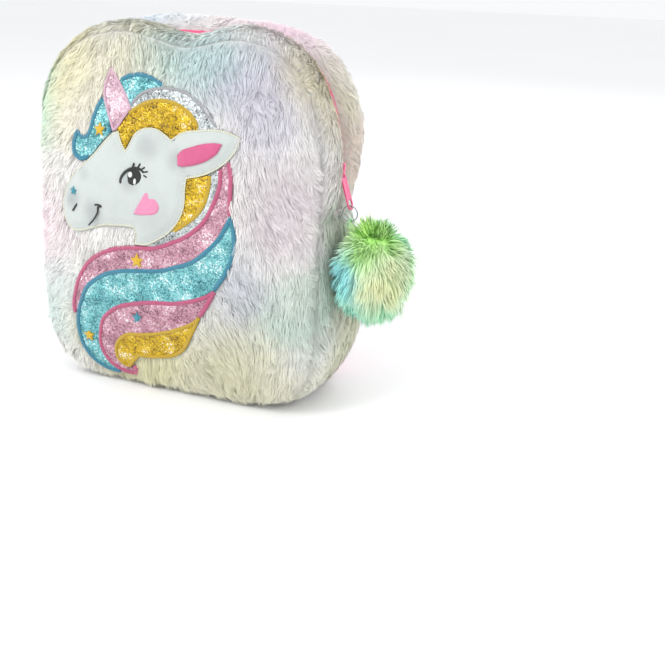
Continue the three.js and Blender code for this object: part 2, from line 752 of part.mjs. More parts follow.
// Each patch's outline as rows of x, z in millimetres of a picture DRAWN_HEIGHT tall, from its
// lower left corner; a third value of 1 marks a corner.
const PATCHES = [
  { name: 'horn', colour: 'horn', outline: [
    [48, 231, 1], [43, 211], [44, 198], [51, 190, 1], [57, 198], [63, 205, 1], [56, 217],
  ] },
  { name: 'forelock_front', colour: 'turquoise', outline: [
    [43, 210, 1], [38, 202], [34, 192], [28, 184], [23, 182], [18, 185, 1], [14, 178], [14, 171],
    [23, 166, 1], [30, 169], [35, 177], [41, 184], [46, 190, 1], [43, 197],
  ] },
  { name: 'forelock_top', colour: 'turquoise', outline: [
    [56, 219, 1], [66, 226], [75, 228], [84, 226], [91, 222, 1], [82, 220], [71, 214], [63, 207, 1],
  ] },
  { name: 'mane_silver_top', colour: 'silver', outline: [
    [64, 204, 1], [71, 213], [82, 219], [94, 221], [105, 220], [117, 216], [128, 208],
    [137, 196, 1], [124, 195, 1], [118, 203], [110, 208], [99, 212], [86, 212], [74, 208],
  ] },
  { name: 'mane_gold_top', colour: 'gold', outline: [
    [52, 190, 1], [63, 203, 1], [74, 208], [86, 212], [99, 212], [110, 208], [118, 203],
    [124, 195, 1], [112, 192], [98, 186, 1], [92, 191], [85, 193], [77, 192], [69, 188], [63, 182],
    [60, 176, 1],
  ] },
  { name: 'head', colour: 'white', thick: HEAD_THICK, outline: [
    [48, 188, 1], [60, 175, 1], [69, 187], [80, 192], [92, 191], [98, 185, 1], [113, 191],
    [134, 195], [152, 191, 1], [149, 183], [142, 175], [129, 167], [113, 161, 1], [111, 150],
    [106, 139], [99, 127], [90, 118], [79, 112], [67, 109, 1], [66, 121, 1], [51, 120], [32, 118],
    [22, 114], [10, 113], [3, 120], [0, 130], [3, 143], [12, 154], [24, 164], [37, 175],
  ] },
  { name: 'mane_gold_low', colour: 'gold', outline: [
    [131, 166, 1], [129, 150], [123, 137], [113, 127], [98, 121, 1], [104, 131], [109, 142],
    [112, 153], [113, 159, 1], [121, 163],
  ] },
  { name: 'mane_silver_low', colour: 'silver', outline: [
    [141, 173, 1], [136, 149], [129, 136], [118, 122], [100, 114], [80, 110, 1], [90, 117],
    [98, 121, 1], [113, 127], [123, 137], [129, 150], [132, 167, 1],
  ] },
  { name: 'mane_pink_top', colour: 'rose', outline: [
    [147, 180, 1], [148, 163], [147, 149], [145, 137, 1], [134, 121], [119, 105], [97, 97],
    [71, 91], [50, 87], [34, 79], [21, 67], [11, 53], [4, 44, 1], [3, 55], [7, 66], [15, 80],
    [27, 93], [42, 102], [61, 108], [79, 109], [97, 112], [112, 118], [127, 129], [135, 141],
    [141, 168, 1],
  ] },
  { name: 'mane_turquoise', colour: 'turquoise', outline: [
    [146, 137, 1], [150, 125], [149, 115], [145, 101], [136, 84, 1], [111, 75], [87, 68], [70, 67],
    [52, 61], [40, 53], [31, 40], [29, 28], [32, 14], [41, 5], [52, 0, 1], [34, 0], [20, 3],
    [8, 11], [2, 22], [3, 36], [6, 46, 1], [14, 56], [22, 68], [34, 79], [50, 87], [71, 91],
    [97, 97], [119, 105], [134, 121],
  ] },
  { name: 'mane_pink_low', colour: 'rose', outline: [
    [134, 83, 1], [128, 73], [122, 64, 1], [104, 53.5], [85, 45], [59, 39], [49, 33], [43, 25],
    [43, 16], [51, 9], [61, 9, 1], [57, 2, 1], [42, 5], [32, 14], [29, 28], [31, 40], [40, 53],
    [52, 61], [70, 67], [87, 68], [111, 75],
  ] },
  { name: 'mane_gold_tip', colour: 'gold', outline: [
    [119, 59, 1], [114, 50], [106, 38], [92, 28], [75, 22], [64, 23, 1], [60, 15], [54, 12],
    [47, 15], [45, 22], [46.5, 28], [52, 32], [61, 37], [85, 43.5], [104, 50.5],
  ] },
];

// Small pieces sewn on top of the patches; on says which patch they lie on.
const DETAILS = [
  { name: 'ear_inner', colour: 'ear', on: 'head', outline: [
    [105, 175, 1], [113, 183], [127, 188], [141, 188, 1], [134, 179], [124, 172], [113, 169],
    [106, 169],
  ] },
  { name: 'eye', colour: 'black', on: 'head', outline: [
    [68.6, 160.4], [73, 158.6], [74.6, 154.2], [72.8, 149.8], [68.6, 148.2], [64.4, 149.8],
    [62.8, 154.2], [64.2, 158.6],
  ] },
  { name: 'cheek_heart', colour: 'ear', on: 'head', outline: [
    [68, 133, 1], [73, 145], [79, 149], [84, 146], [84, 141, 1], [90, 142], [92, 137], [88, 133],
  ] },
];

// Narrow stitched lines, as middle lines with a width.
const LINES = [
  { name: 'eyelid', colour: 'black', on: 'head', width: 1.8, line: [
    [57.2, 151.5], [59, 157], [63, 161.6], [69, 164], [75.5, 162], [79, 158.5],
  ] },
  { name: 'mouth', colour: 'black', on: 'head', width: 1.8, line: [
    [39, 131], [36, 126], [32, 120.5], [27, 115.5],
  ] },
  { name: 'nostril', colour: 'black', on: 'head', width: 1.8, line: [
    [16, 130], [14, 127.5], [11, 124.5],
  ] },
];

const STARS = [
  { name: 'star_forelock', colour: 'star', on: 'forelock_front', x: 34, z: 183, radius: 4.6 },
  { name: 'star_pink', colour: 'star', on: 'mane_pink_top', x: 70, z: 99, radius: 5 },
  { name: 'star_blue', colour: 'blue', on: 'mane_pink_low', x: 67, z: 53, radius: 4.2 },
  { name: 'star_turquoise', colour: 'star', on: 'mane_turquoise', x: 16, z: 33, radius: 5 },
  { name: 'star_nose', colour: 'blue', on: 'head', x: 15, z: 142, radius: 3.2 },
];

const PICTURE_SCALE = PICTURE_HEIGHT / DRAWN_HEIGHT;

function onBag(x, z, h) {
  return settle(frontPoint(PICTURE_X + x * PICTURE_SCALE, PICTURE_Z + z * PICTURE_SCALE, h));
}

// Rounds an outline between its corners and returns evenly spaced points.
function roundedOutline(rows, step) {
  const corners = rows.map((row, i) => (row[2] ? i : -1)).filter((i) => i >= 0);
  const vectors = rows.map(([x, z]) => V(x, z, 0));
  const sample = (points, closed) => {
    const curve = new THREE.CatmullRomCurve3(points, closed, 'centripetal');
    const pieces = Math.max(closed ? 7 : 1, Math.round(curve.getLength() / step));
    return curve.getSpacedPoints(pieces).slice(0, -1);
  };
  if (!corners.length) return sample(vectors, true);
  return corners.flatMap((from, k) => {
    const to = corners[(k + 1) % corners.length];
    const count = (to - from + rows.length - 1) % rows.length + 1;
    const run = Array.from({ length: count + 1 }, (_, i) => vectors[(from + i) % rows.length]);
    return sample(run, false);
  });
}

// Draws an outline in by a small margin, so that neighbours don't touch.
function inset(points, margin) {
  const turn = Math.sign(THREE.ShapeUtils.area(points.map((p) => new THREE.Vector2(p.x, p.y))));
  return points.map((p, i) => {
    const before = points[(i + points.length - 1) % points.length];
    const after = points[(i + 1) % points.length];
    const a = p.clone().sub(before).normalize();
    const b = after.clone().sub(p).normalize();
    const bisector = V(-(a.y + b.y), a.x + b.x, 0).multiplyScalar(turn);
    const length = Math.max(0.7, bisector.length() / 2);
    return p.clone().addScaledVector(bisector.normalize(), margin / length);
  });
}

// A plate lying on the bag's front over a flat outline, from height low to height high.
function plate(points, low, high) {
  const shape = new THREE.Shape(points.map((p) => new THREE.Vector2(p.x, p.y)));
  const flat = new THREE.ShapeGeometry(shape).toNonIndexed();
  const fine = new TessellateModifier(PATCH_EDGE, 8).modify(flat);
  fine.deleteAttribute('normal');
  fine.deleteAttribute('uv');
  const merged = mergeVertices(fine, 1e-3);
  const position = merged.getAttribute('position');
  const index = Array.from(merged.index.array);
  const build = new Builder();
  const all = Array.from({ length: position.count }, (_, i) => [position.getX(i), position.getY(i)]);
  const top = build.row(all.map(([x, z]) => onBag(x, z, high)));
  const bottom = build.row(all.map(([x, z]) => onBag(x, z, low)));
  const open = new Map();
  for (let i = 0; i < index.length; i += 3) {
    const [a, b, c] = index.slice(i, i + 3);
    build.triangles.push([top[a], top[b], top[c]], [bottom[a], bottom[c], bottom[b]]);
    for (const [p, q] of [[a, b], [b, c], [c, a]]) {
      if (!open.delete(`${q},${p}`)) open.set(`${p},${q}`, [p, q]);
    }
  }
  for (const [p, q] of open.values()) build.quad(top[q], top[p], bottom[p], bottom[q]);
  return build.done();
}

function topOf(name) {
  const patch = PATCHES.find((p) => p.name === name);
  return PATCH_LIFT + PATCH_THICK + (patch.thick ?? 0);
}

function starOutline({ x, z, radius }) {
  return Array.from({ length: 10 }, (_, i) => {
    const angle = Math.PI / 2 + i * Math.PI / 5;
    const r = i % 2 ? radius * 0.5 : radius;
    return V(x + r * Math.cos(angle), z + r * Math.sin(angle), 0);
  });
}

function lineOutline({ line, width }) {
  const curve = new THREE.CatmullRomCurve3(line.map(([x, z]) => V(x, z, 0)));
  const count = 6;
  const left = [];
  const right = [];
  for (let i = 0; i <= count; i++) {
    const at = curve.getPointAt(i / count);
    const along = curve.getTangentAt(i / count);
    const across = V(-along.y, along.x, 0).multiplyScalar(width / 2);
    left.push(at.clone().add(across));
    right.unshift(at.clone().sub(across));
  }
  return [...left, ...right];
}

// Assembly

const backpack = new THREE.Group();

function add(name, colour, geometry, roughness = 0.9, metalness = 0) {
  const material = new THREE.MeshStandardMaterial({ color: COLOURS[colour], roughness, metalness });
  const mesh = new THREE.Mesh(geometry, material);
  mesh.name = name;
  backpack.add(mesh);
}

add('front_panel', 'fur', panel(-1, FRONT_CROWN));
add('back_panel', 'fur', panel(1, BACK_CROWN));
add('lower_gusset', 'fur', lowerGusset());
add('zip_strip_front', 'fur', zipStrip(-1));
add('zip_strip_rear', 'fur', zipStrip(1));
add('zip_tape_front', 'tape', zipTape(-1));
add('zip_tape_rear', 'tape', zipTape(1));
add('zip_chain', 'tape', zipChain(), 0.5);
add('zip_slider', 'pink', zipSlider(), 0.35);
add('pull_tab', 'pink', pullTab(), 0.35);
add('split_ring', 'steel', splitRing(), 0.3, 1);
add('pompom', 'lime', pompom());
for (const [side, word] of [[-1, 'left'], [1, 'right']]) {
  add(`strap_${word}`, 'fur', strap(side));
  add(`strap_tab_${word}`, 'pink', strapTab(side), 0.7);
  add(`tri_glide_${word}`, 'clear', triGlide(side), 0.2);
  add(`webbing_${word}`, 'pink', webbing(side), 0.7);
}
add('carry_handle', 'pink', carryHandle(), 0.7);
for (const { name, colour, thick = 0, outline } of PATCHES) {
  const points = inset(roundedOutline(outline, PATCH_STEP), PATCH_INSET);
  add(name, colour, plate(points, PATCH_LIFT, PATCH_LIFT + PATCH_THICK + thick), 0.5);
}
for (const { name, colour, on, outline } of DETAILS) {
  const low = topOf(on) + GAP;
  add(name, colour, plate(roundedOutline(outline, 5), low, low + DETAIL_THICK), 0.6);
}
for (const { name, colour, on, ...rest } of LINES) {
  const low = topOf(on) + GAP;
  add(name, colour, plate(lineOutline(rest), low, low + DETAIL_THICK), 0.6);
}
for (const { name, colour, on, ...rest } of STARS) {
  const low = topOf(on) + GAP;
  add(name, colour, plate(starOutline(rest), low, low + DETAIL_THICK), 0.5);
}

export default backpack;
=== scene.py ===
"""A child's plush backpack with a unicorn picture, standing on a pale floor.

Lengths in the shape functions are millimetres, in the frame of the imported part: +Z up, the front
facing -Y, the shoulder straps on +Y and the pompom on +X. Meshes are made in metres.
"""

import math

import bmesh
import bpy
import numpy as np
from mathutils import Matrix, Vector
from mathutils.geometry import delaunay_2d_cdt
from mathutils.kdtree import KDTree


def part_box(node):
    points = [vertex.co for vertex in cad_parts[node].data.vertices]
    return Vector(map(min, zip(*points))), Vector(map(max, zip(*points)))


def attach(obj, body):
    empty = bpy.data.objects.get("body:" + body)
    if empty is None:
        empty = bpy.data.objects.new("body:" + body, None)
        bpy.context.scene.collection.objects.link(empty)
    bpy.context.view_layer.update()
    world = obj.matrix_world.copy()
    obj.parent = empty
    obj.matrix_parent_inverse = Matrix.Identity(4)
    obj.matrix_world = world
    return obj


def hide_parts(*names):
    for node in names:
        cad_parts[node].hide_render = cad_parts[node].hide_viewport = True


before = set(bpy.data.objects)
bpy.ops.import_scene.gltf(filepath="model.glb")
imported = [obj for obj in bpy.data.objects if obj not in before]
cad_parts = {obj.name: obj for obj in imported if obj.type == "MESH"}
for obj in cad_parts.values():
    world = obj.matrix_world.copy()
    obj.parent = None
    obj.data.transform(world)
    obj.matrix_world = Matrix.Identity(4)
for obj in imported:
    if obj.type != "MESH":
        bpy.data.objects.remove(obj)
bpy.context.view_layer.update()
MM = 0.001

# The bag, as in the part's source
HEIGHT, SEAM_WIDTH, SEAM_DEPTH, SEAM_BASE = 276, 232, 76, 5
FRONT_CROWN, BACK_CROWN, GUSSET_CROWN, WALL, GAP = 18, 9, 8, 8, 0.3
TOP_POWER, BASE_POWER = 3.6, 6
TAPER, LEAN, WAIST, WAIST_HEIGHT, WAIST_SPAN = 0.22, 4, 0.07, 0.54, 0.13
DIP, DIP_X, DIP_SPAN = 10, 8, 30
PILE, TUFT, LUMP, FOLD = 3, 1.4, 1.2, 0.9
SEAM_TOP = HEIGHT - GUSSET_CROWN
MID_Z = (SEAM_BASE + SEAM_TOP) / 2
HALF_WIDTH, HALF_TALL, HALF_DEPTH = SEAM_WIDTH / 2, (SEAM_TOP - SEAM_BASE) / 2, SEAM_DEPTH / 2

# Zip and pull
ZIP_END, ZIP_HALF, TAPE_THICK, TAPE_SINK = 0.53, 5.5, 1.5, 1.8
CHAIN_HALF, TOOTH_PITCH = 2.4, 1.55
POMPOM_MIDDLE, POMPOM_REACH = np.array([151.0, -17.0, 113.0]), np.array([34.0, 34.0, 42.0])

# Straps, webbing and handle
STRAP_WIDTH, STRAP_THICK, STRAP_SEAT = 48, 14, -0.5
WEB_WIDTH, WEB_THICK, WEB_SEAT = 19, 1.4, 1.5
GLIDE_TALL, GLIDE_THICK, GLIDE_BAR, GLIDE_MIDDLE, GLIDE_DROP = 24, 3, 3, 3.5, 4
HANDLE_WIDTH, HANDLE_SPAN, HANDLE_REACH, HANDLE_SEAT, HANDLE_HEIGHT = 20, 60, 24, 2.9, 0.947

# Picture
PICTURE_X, PICTURE_Z = -89, 12
PATCH_LIFT, PATCH_THICK, PATCH_INSET = 0.6, 1.3, 0.35


def smooth(v, low, high):
    t = np.clip((np.asarray(v, float) - low) / (high - low), 0, 1)
    return t * t * (3 - 2 * t)


def vec(x, y, z):
    return np.stack(np.broadcast_arrays(x, y, z), -1).astype(float)


def unit(v):
    return v / np.maximum(np.linalg.norm(v, axis=-1, keepdims=True), 1e-9)


def dot(a, b):
    return (a * b).sum(-1, keepdims=True)


def waves(p, size, seed, count=14):
    """Soft irregular hills over points p, from about -1 to 1 and about size across."""
    rng = np.random.default_rng(seed)
    pitch = unit(rng.normal(size=(count, 3))) * (2 * math.pi / size * rng.uniform(0.45, 1.1, (count, 1)))
    return np.sin(np.asarray(p, float) @ pitch.T + rng.uniform(0, 6.28, count)).sum(-1) * (2 / count) ** 0.5 / 1.4


# The bag's outline and its soft shape
def seam_radius(angle):
    power = np.where(np.sin(angle) > 0, TOP_POWER, BASE_POWER)
    across = np.abs(np.cos(angle)) / HALF_WIDTH
    up = np.abs(np.sin(angle)) / HALF_TALL
    return (across ** power + up ** power) ** (-1 / power)


ANGLES = np.linspace(-math.pi / 2, 1.5 * math.pi, 1441)
SEAM = np.stack([np.cos(ANGLES), np.sin(ANGLES)], -1) * seam_radius(ANGLES)[:, None] + [0, MID_Z]
SEAM_RUN = np.concatenate([[0], np.cumsum(np.linalg.norm(np.diff(SEAM, axis=0), axis=1))])
SEAM_LENGTH = SEAM_RUN[-1]


def seam_at(share):
    run = (np.asarray(share, float) % 1) * SEAM_LENGTH
    return np.stack([np.interp(run, SEAM_RUN, SEAM[:, k]) for k in (0, 1)], -1)


def seam_normal(share):
    along = seam_at(np.asarray(share) + 0.002) - seam_at(np.asarray(share) - 0.002)
    return unit(np.stack([along[..., 1], -along[..., 0]], -1))


def share_at_height(z):
    shares = np.linspace(0, 0.5, 4001)
    return float(np.interp(z, seam_at(shares)[:-1, 1], shares[:-1]))


def settle(p):
    """The filled bag leans, tapers and has a waist behind, and its front top edge dips."""
    x, y, z = np.moveaxis(np.asarray(p, float), -1, 0)
    up = z / HEIGHT
    rear = np.clip(y / SEAM_DEPTH + 0.5, 0, 1)
    waist = WAIST * np.exp(-((up - WAIST_HEIGHT) / WAIST_SPAN) ** 2) * rear
    dip = np.exp(-((x - DIP_X) / DIP_SPAN) ** 2) * smooth(up, 0.78, 0.97)
    return vec(x * (1 - waist) + LEAN * up * up, y * (1 + TAPER * (0.5 - up)),
               z - DIP * dip * (1 - smooth(rear, 0.3, 0.5)))


def bulge(u):
    return (1 - np.minimum(1, u) ** 2.4) ** 0.6


def seam_share(x, z):
    return np.minimum(0.998, np.hypot(x, z - MID_Z) / seam_radius(np.arctan2(z - MID_Z, x)))


def panel_depth(x, z, side, crown):
    """How far the panel's cloth lies from the middle plane; side is -1 for the front."""
    u = seam_share(x, z)
    lumps = LUMP * waves(vec(x, side * 40.0, z), 70, 5) * (1 - u ** 6)
    folds = FOLD * waves(vec(x, side * 40.0, z), 26, 8) * (1 - u ** 6)
    return side * (HALF_DEPTH + crown * bulge(u) + lumps + folds)


def on_bag(x, z, h):
    """A point h above the front cloth, at x and z of the picture."""
    x, z = np.asarray(x, float) + PICTURE_X, np.asarray(z, float) + PICTURE_Z
    depth = lambda a, b: panel_depth(a, b, -1, FRONT_CROWN)
    y = depth(x, z)
    normal = unit(vec(depth(x + 1, z) - depth(x - 1, z), -2, depth(x, z + 1) - depth(x, z - 1)))
    return settle(vec(x, y, z) + normal * np.asarray(h, float)[..., None])


def on_back(x, z, h):
    u = seam_share(x, z)
    p = settle(vec(x, HALF_DEPTH + BACK_CROWN * bulge(u) + (PILE + TUFT) * (1 - u ** 8), z))
    return p + vec(0, h, 0)


# Curves
def spline(points, closed=False, fine=14):
    """Points close together on a centripetal curve through the given ones."""
    p = np.asarray(points, float)
    if closed:
        p = np.concatenate([p[-1:], p, p[:2]])
    else:
        p = np.concatenate([[2 * p[0] - p[1]], p, [2 * p[-1] - p[-2]]])
    found = []
    for a, b, c, d in zip(p, p[1:], p[2:], p[3:]):
        k = np.cumsum([0] + [max(np.linalg.norm(q - r), 1e-6) ** 0.5 for q, r in ((b, a), (c, b), (d, c))])
        t = np.linspace(k[1], k[2], fine, endpoint=False)[:, None]
        mix = lambda q, r, i, j: (q * (k[j] - t) + r * (t - k[i])) / (k[j] - k[i])
        ab, bc, cd = mix(a, b, 0, 1), mix(b, c, 1, 2), mix(c, d, 2, 3)
        found.append(mix(mix(ab, bc, 0, 2), mix(bc, cd, 1, 3), 1, 2))
    return np.concatenate(found if closed else found + [p[-2:-1]])


def spaced(line, step, closed=False, count=None):
    """Evenly spaced points along a line, without its last one when count is None."""
    if closed:
        line = np.concatenate([line, line[:1]])
    run = np.concatenate([[0], np.cumsum(np.linalg.norm(np.diff(line, axis=0), axis=1))])
    number = count or max(1, round(run[-1] / step))
    at = np.linspace(0, run[-1], number + 1)
    if count is None:
        at = at[:-1]
    return np.stack([np.interp(at, run, line[:, k]) for k in range(line.shape[1])], -1)


def frames(points, count, across):
    """Evenly spaced frames on a curve: share, place, direction, side and outward."""
    at = spaced(spline(points), 1, count=count)
    along = unit(np.gradient(at, axis=0))
    t = np.linspace(0, 1, count + 1)
    side = np.array([across(v) for v in t], float)
    side = unit(side - along * dot(side, along))
    return t, at, along, side, np.cross(side, along)


# Meshes
def mesh_piece(name, points, faces, material, uv=None, soft=True, **numbers):
    """A piece at the origin from points in millimetres; faces is a list of index arrays."""
    mesh = bpy.data.meshes.new(name)
    corners = np.concatenate([np.asarray(f).ravel() for f in faces]).astype(np.int32)
    counts = np.concatenate([np.full(len(f), np.asarray(f).shape[1]) for f in faces])
    mesh.vertices.add(len(points))
    mesh.vertices.foreach_set("co", (np.asarray(points, float) * MM).ravel())
    mesh.loops.add(len(corners))
    mesh.loops.foreach_set("vertex_index", corners)
    mesh.polygons.add(len(counts))
    mesh.polygons.foreach_set("loop_start", np.concatenate([[0], np.cumsum(counts)[:-1]]).astype(np.int32))
    mesh.update(calc_edges=True)
    mesh.polygons.foreach_set("use_smooth", np.full(len(counts), soft))
    for key, values in numbers.items():
        mesh.attributes.new(key, "FLOAT", "POINT").data.foreach_set("value", np.asarray(values, np.float32))
    if uv is not None:
        layer = mesh.uv_layers.new(name="cloth")
        layer.data.foreach_set("uv", np.asarray(uv, float)[corners].ravel())
    mesh.materials.append(material)
    piece = bpy.data.objects.new(name, mesh)
    bpy.context.scene.collection.objects.link(piece)
    return piece


def joined(parts):
    """One set of points and faces from several."""
    points, faces, start = [], [], 0
    for p, groups in parts:
        points.append(p)
        faces += [np.asarray(f) + start for f in groups]
        start += len(p)
    return np.concatenate(points), faces


def grid_faces(rows, cols, start=0, flip=False, wrap=False):
    """Quads of a grid of points; wrap closes each row on itself."""
    i, j = np.meshgrid(np.arange(rows - 1), np.arange(cols if wrap else cols - 1), indexing="ij")
    k = (j + 1) % cols
    quads = np.stack([i * cols + j, i * cols + k, (i + 1) * cols + k, (i + 1) * cols + j], -1).reshape(-1, 4)
    return (quads[:, ::-1] if flip else quads) + start


def shell(outer, inner):
    """A closed body from an outer and an inner grid of points joined round their edges."""
    rows, cols = outer.shape[:2]
    size = rows * cols
    rim = np.concatenate([np.arange(cols), np.arange(1, rows) * cols + cols - 1,
                          (rows - 1) * cols + np.arange(cols - 2, -1, -1), np.arange(rows - 2, 0, -1) * cols])
    after = np.roll(rim, -1)
    wall = np.stack([after, rim, rim + size, after + size], -1)
    faces = [grid_faces(rows, cols), grid_faces(rows, cols, size, True), wall]
    return np.concatenate([outer.reshape(-1, 3), inner.reshape(-1, 3)]), faces


def sweep(centres, sides, outs, section):
    """A closed tube: section is a closed loop of (side, out) offsets, or one loop for each centre."""
    section = np.broadcast_to(np.asarray(section, float), (len(centres), *np.shape(section)[-2:]))
    rings = centres[:, None] + sides[:, None] * section[..., :1] + outs[:, None] * section[..., 1:]
    rows, cols = rings.shape[:2]
    points = np.concatenate([rings.reshape(-1, 3), rings[0].mean(0)[None], rings[-1].mean(0)[None]])
    k = np.arange(cols)
    first = np.stack([np.roll(k, -1), k, np.full(cols, rows * cols)], -1)
    last = np.stack([k, np.roll(k, -1), np.full(cols, 0)], -1) + (rows - 1) * cols
    last[:, 2] = rows * cols + 1
    return points, [grid_faces(rows, cols, wrap=True), first, last]


def face_outwards(piece):
    """Turns a closed piece's faces outwards."""
    body = bmesh.new()
    body.from_mesh(piece.data)
    bmesh.ops.recalc_face_normals(body, faces=body.faces)
    body.to_mesh(piece.data)
    body.free()


# Materials
class Number:
    """A number socket that takes part in Python expressions."""

    def __init__(self, shader, socket):
        self.shader, self.socket = shader, socket

    def math(self, operation, *others):
        inputs = dict(enumerate((self, *others)))
        return Number(self.shader, self.shader.node("ShaderNodeMath", {"operation": operation}, inputs).outputs[0])

    def __add__(self, other):
        return self.math("ADD", other)

    def __sub__(self, other):
        return self.math("SUBTRACT", other)

    def __rsub__(self, other):
        return self.math("MULTIPLY", -1) + other

    def __mul__(self, other):
        return self.math("MULTIPLY", other)

    def __pow__(self, other):
        return self.math("POWER", other)

    def clamp(self):
        return self.math("MINIMUM", 1).math("MAXIMUM", 0)

    __radd__, __rmul__ = __add__, __mul__


def rgb(text):
    """The linear colour of a hex colour."""
    parts = [int(text[i:i + 2], 16) / 255 for i in (0, 2, 4)]
    return (*[c / 12.92 if c <= 0.04045 else ((c + 0.055) / 1.055) ** 2.4 for c in parts], 1)


class Shader:
    """A material with one Principled shader; constants are set on its sockets by name."""

    def __init__(self, name, **constants):
        self.material = bpy.data.materials.new(name)
        self.material.use_nodes = True
        self.tree = self.material.node_tree
        self.main = self.tree.nodes["Principled BSDF"]
        for key, value in constants.items():
            self.set(key.replace("_", " ").title().replace("Ior", "IOR"), value)

    def node(self, kind, settings=None, inputs=None):
        made = self.tree.nodes.new(kind)
        for key, value in (settings or {}).items():
            if key == "stops":
                ramp = made.color_ramp.elements
                while len(ramp) < len(value):
                    ramp.new(0.5)
                for element, (place, colour) in zip(ramp, value):
                    element.position, element.color = place, colour
            else:
                setattr(made, key, value)
        for key, value in (inputs or {}).items():
            self.feed(made.inputs[key], value)
        return made

    def feed(self, socket, value):
        value = getattr(value, "socket", value)
        if isinstance(value, bpy.types.NodeSocket):
            self.tree.links.new(value, socket)
        else:
            socket.default_value = value

    def set(self, name, value):
        self.feed(self.main.inputs[name], value)

    def place(self):
        return self.node("ShaderNodeTexCoord").outputs["Object"]

    def cloth(self):
        """The piece's own map as two numbers, in metres along and across."""
        uv = self.node("ShaderNodeUVMap", {"uv_map": "cloth"}).outputs[0]
        parts = self.node("ShaderNodeSeparateXYZ", None, {0: uv})
        return Number(self, parts.outputs[0]), Number(self, parts.outputs[1])

    def number(self, name):
        """A number kept on the piece's points."""
        return Number(self, self.node("ShaderNodeAttribute", {"attribute_name": name}).outputs["Fac"])

    def noise(self, size, detail=2.0, place=None):
        inputs = {"Vector": place or self.place(), "Scale": 1 / size, "Detail": detail}
        return self.node("ShaderNodeTexNoise", None, inputs)

    def mix(self, factor, a, b, blend="MIX"):
        settings = {"data_type": "RGBA", "blend_type": blend}
        return self.node("ShaderNodeMix", settings, {0: factor, 6: a, 7: b}).outputs[2]

    def ramp(self, factor, stops):
        return self.node("ShaderNodeValToRGB", {"stops": stops}, {0: factor}).outputs[0]

    def spread(self, value, low, high):
        """0 where value is low and 1 where it is high."""
        settings = {"interpolation_type": "SMOOTHSTEP"}
        return Number(self, self.node("ShaderNodeMapRange", settings, {0: value, 1: low, 2: high}).outputs[0])

    def vector(self, operation, a, b):
        return self.node("ShaderNodeVectorMath", {"operation": operation}, {0: a, 1: b}).outputs[0]

    def near(self, place, middle, reach):
        """1 at a spot, given in millimetres, and 0 beyond its reach."""
        spot = tuple(c * MM for c in middle)
        away = self.node("ShaderNodeVectorMath", {"operation": "DISTANCE"}, {0: place, 1: spot}).outputs[1]
        return self.spread(away, reach * MM, reach * MM * 0.15)

    def bump(self, height, strength, distance):
        inputs = {"Strength": strength, "Distance": distance, "Height": height}
        self.set("Normal", self.node("ShaderNodeBump", None, inputs).outputs[0])


WHITE = (1, 1, 1, 1)

# The tie-dye: soft patches of pastel on white fur, each a spot in millimetres, its reach and colour.
DYE = [
    ((-95, -45, 235), 75, "f5edb4"), ((-20, -50, 262), 70, "ece9c6"), ((-118, -20, 205), 55, "b0ecd2"),
    ((-118, -35, 120), 60, "fbe0ea"), ((-110, -45, 60), 60, "d9efe8"), ((25, -50, 250), 60, "b2dde0"),
    ((75, -45, 225), 60, "cdcade"), ((92, -45, 150), 55, "e6d9e0"), ((60, -50, 90), 55, "d3d8e2"),
    ((105, -40, 85), 50, "c6e2d2"), ((-20, -55, 20), 90, "e9e6a0"), ((70, -50, 25), 70, "e4e2b0"),
    ((118, -20, 240), 60, "ece2b4"), ((122, 10, 190), 50, "f0d8c4"), ((126, 0, 110), 60, "c2e0bc"),
    ((124, 10, 45), 70, "dde2b4"), ((60, 20, 272), 60, "efc9dc"), ((-60, 20, 270), 70, "cfe2f2"),
    ((0, 50, 250), 60, "f2d3e4"), ((-70, 55, 190), 70, "b8d0f0"), ((10, 60, 160), 70, "b2dcee"),
    ((75, 55, 200), 60, "c6c2ee"), ((70, 50, 90), 70, "c0c7f0"), ((-60, 55, 70), 75, "c4ecdf"),
    ((0, 50, 30), 80, "f1ecc2"), ((95, 45, 30), 60, "f0d8e2"), ((-125, 20, 60), 70, "f0d8dc"),
    ((-120, 20, 240), 60, "c9d4ec"), ((-45, 95, 130), 45, "c9efe0"), ((45, 95, 150), 45, "f4dade"),
    ((55, 80, 220), 45, "cfe6f3"), ((-30, 80, 230), 45, "f3efc0"),
]


def dyed_fur(name, dye, base="fdfbf7", depth="d9d8da", strength=0.62):
    """Soft matt fur: dye spots with ragged edges, with painted shade towards depth at the roots and by the seams, and
    a little uneven in tone.
    """
    shader = Shader(name, roughness=0.85, sheen_weight=0.25, sheen_roughness=0.5, specular_ior_level=0.2)
    place = shader.place()
    drift = shader.vector("SUBTRACT", shader.noise(0.055, 3, place).outputs["Color"], (0.5, 0.5, 0.5))
    place_off = shader.vector("ADD", place, shader.vector("MULTIPLY", drift, (0.07, 0.07, 0.07)))
    colour = rgb(base)
    for middle, reach, tint in dye:
        colour = shader.mix(shader.near(place_off, middle, reach) * strength, colour, rgb(tint))
    tip, tone = shader.number("tip"), shader.number("tone")
    fleck = shader.spread(Number(shader, shader.noise(0.012, 2, place).outputs[0]), 0.3, 0.7)
    # Painted shade towards depth: (1 - tip) darkens the roots, and tone, which fur() raises by the seams, darkens the
    # hairs there; the random part of tone and the flecks are the fur's own uneven tone.
    shade = (1 - tip) ** 1.5 * 0.4 + tone * 0.26 + fleck * 0.2
    colour = shader.mix(shade.clamp(), colour, shader.mix(1.0, colour, rgb(depth), "MULTIPLY"))
    shader.set("Base Color", colour)
    return shader.material


def backing(name, tint):
    """The knitted cloth that the fur grows from."""
    shader = Shader(name, roughness=0.95, specular_ior_level=0.1)
    grain = Number(shader, shader.noise(0.0012, 3).outputs[0])
    broad = shader.noise(0.02, 2).outputs[0]
    shader.set("Base Color", shader.mix(broad, rgb(tint), shader.mix(0.5, rgb(tint), WHITE)))
    shader.bump(grain, 0.6, 0.0006)
    return shader.material


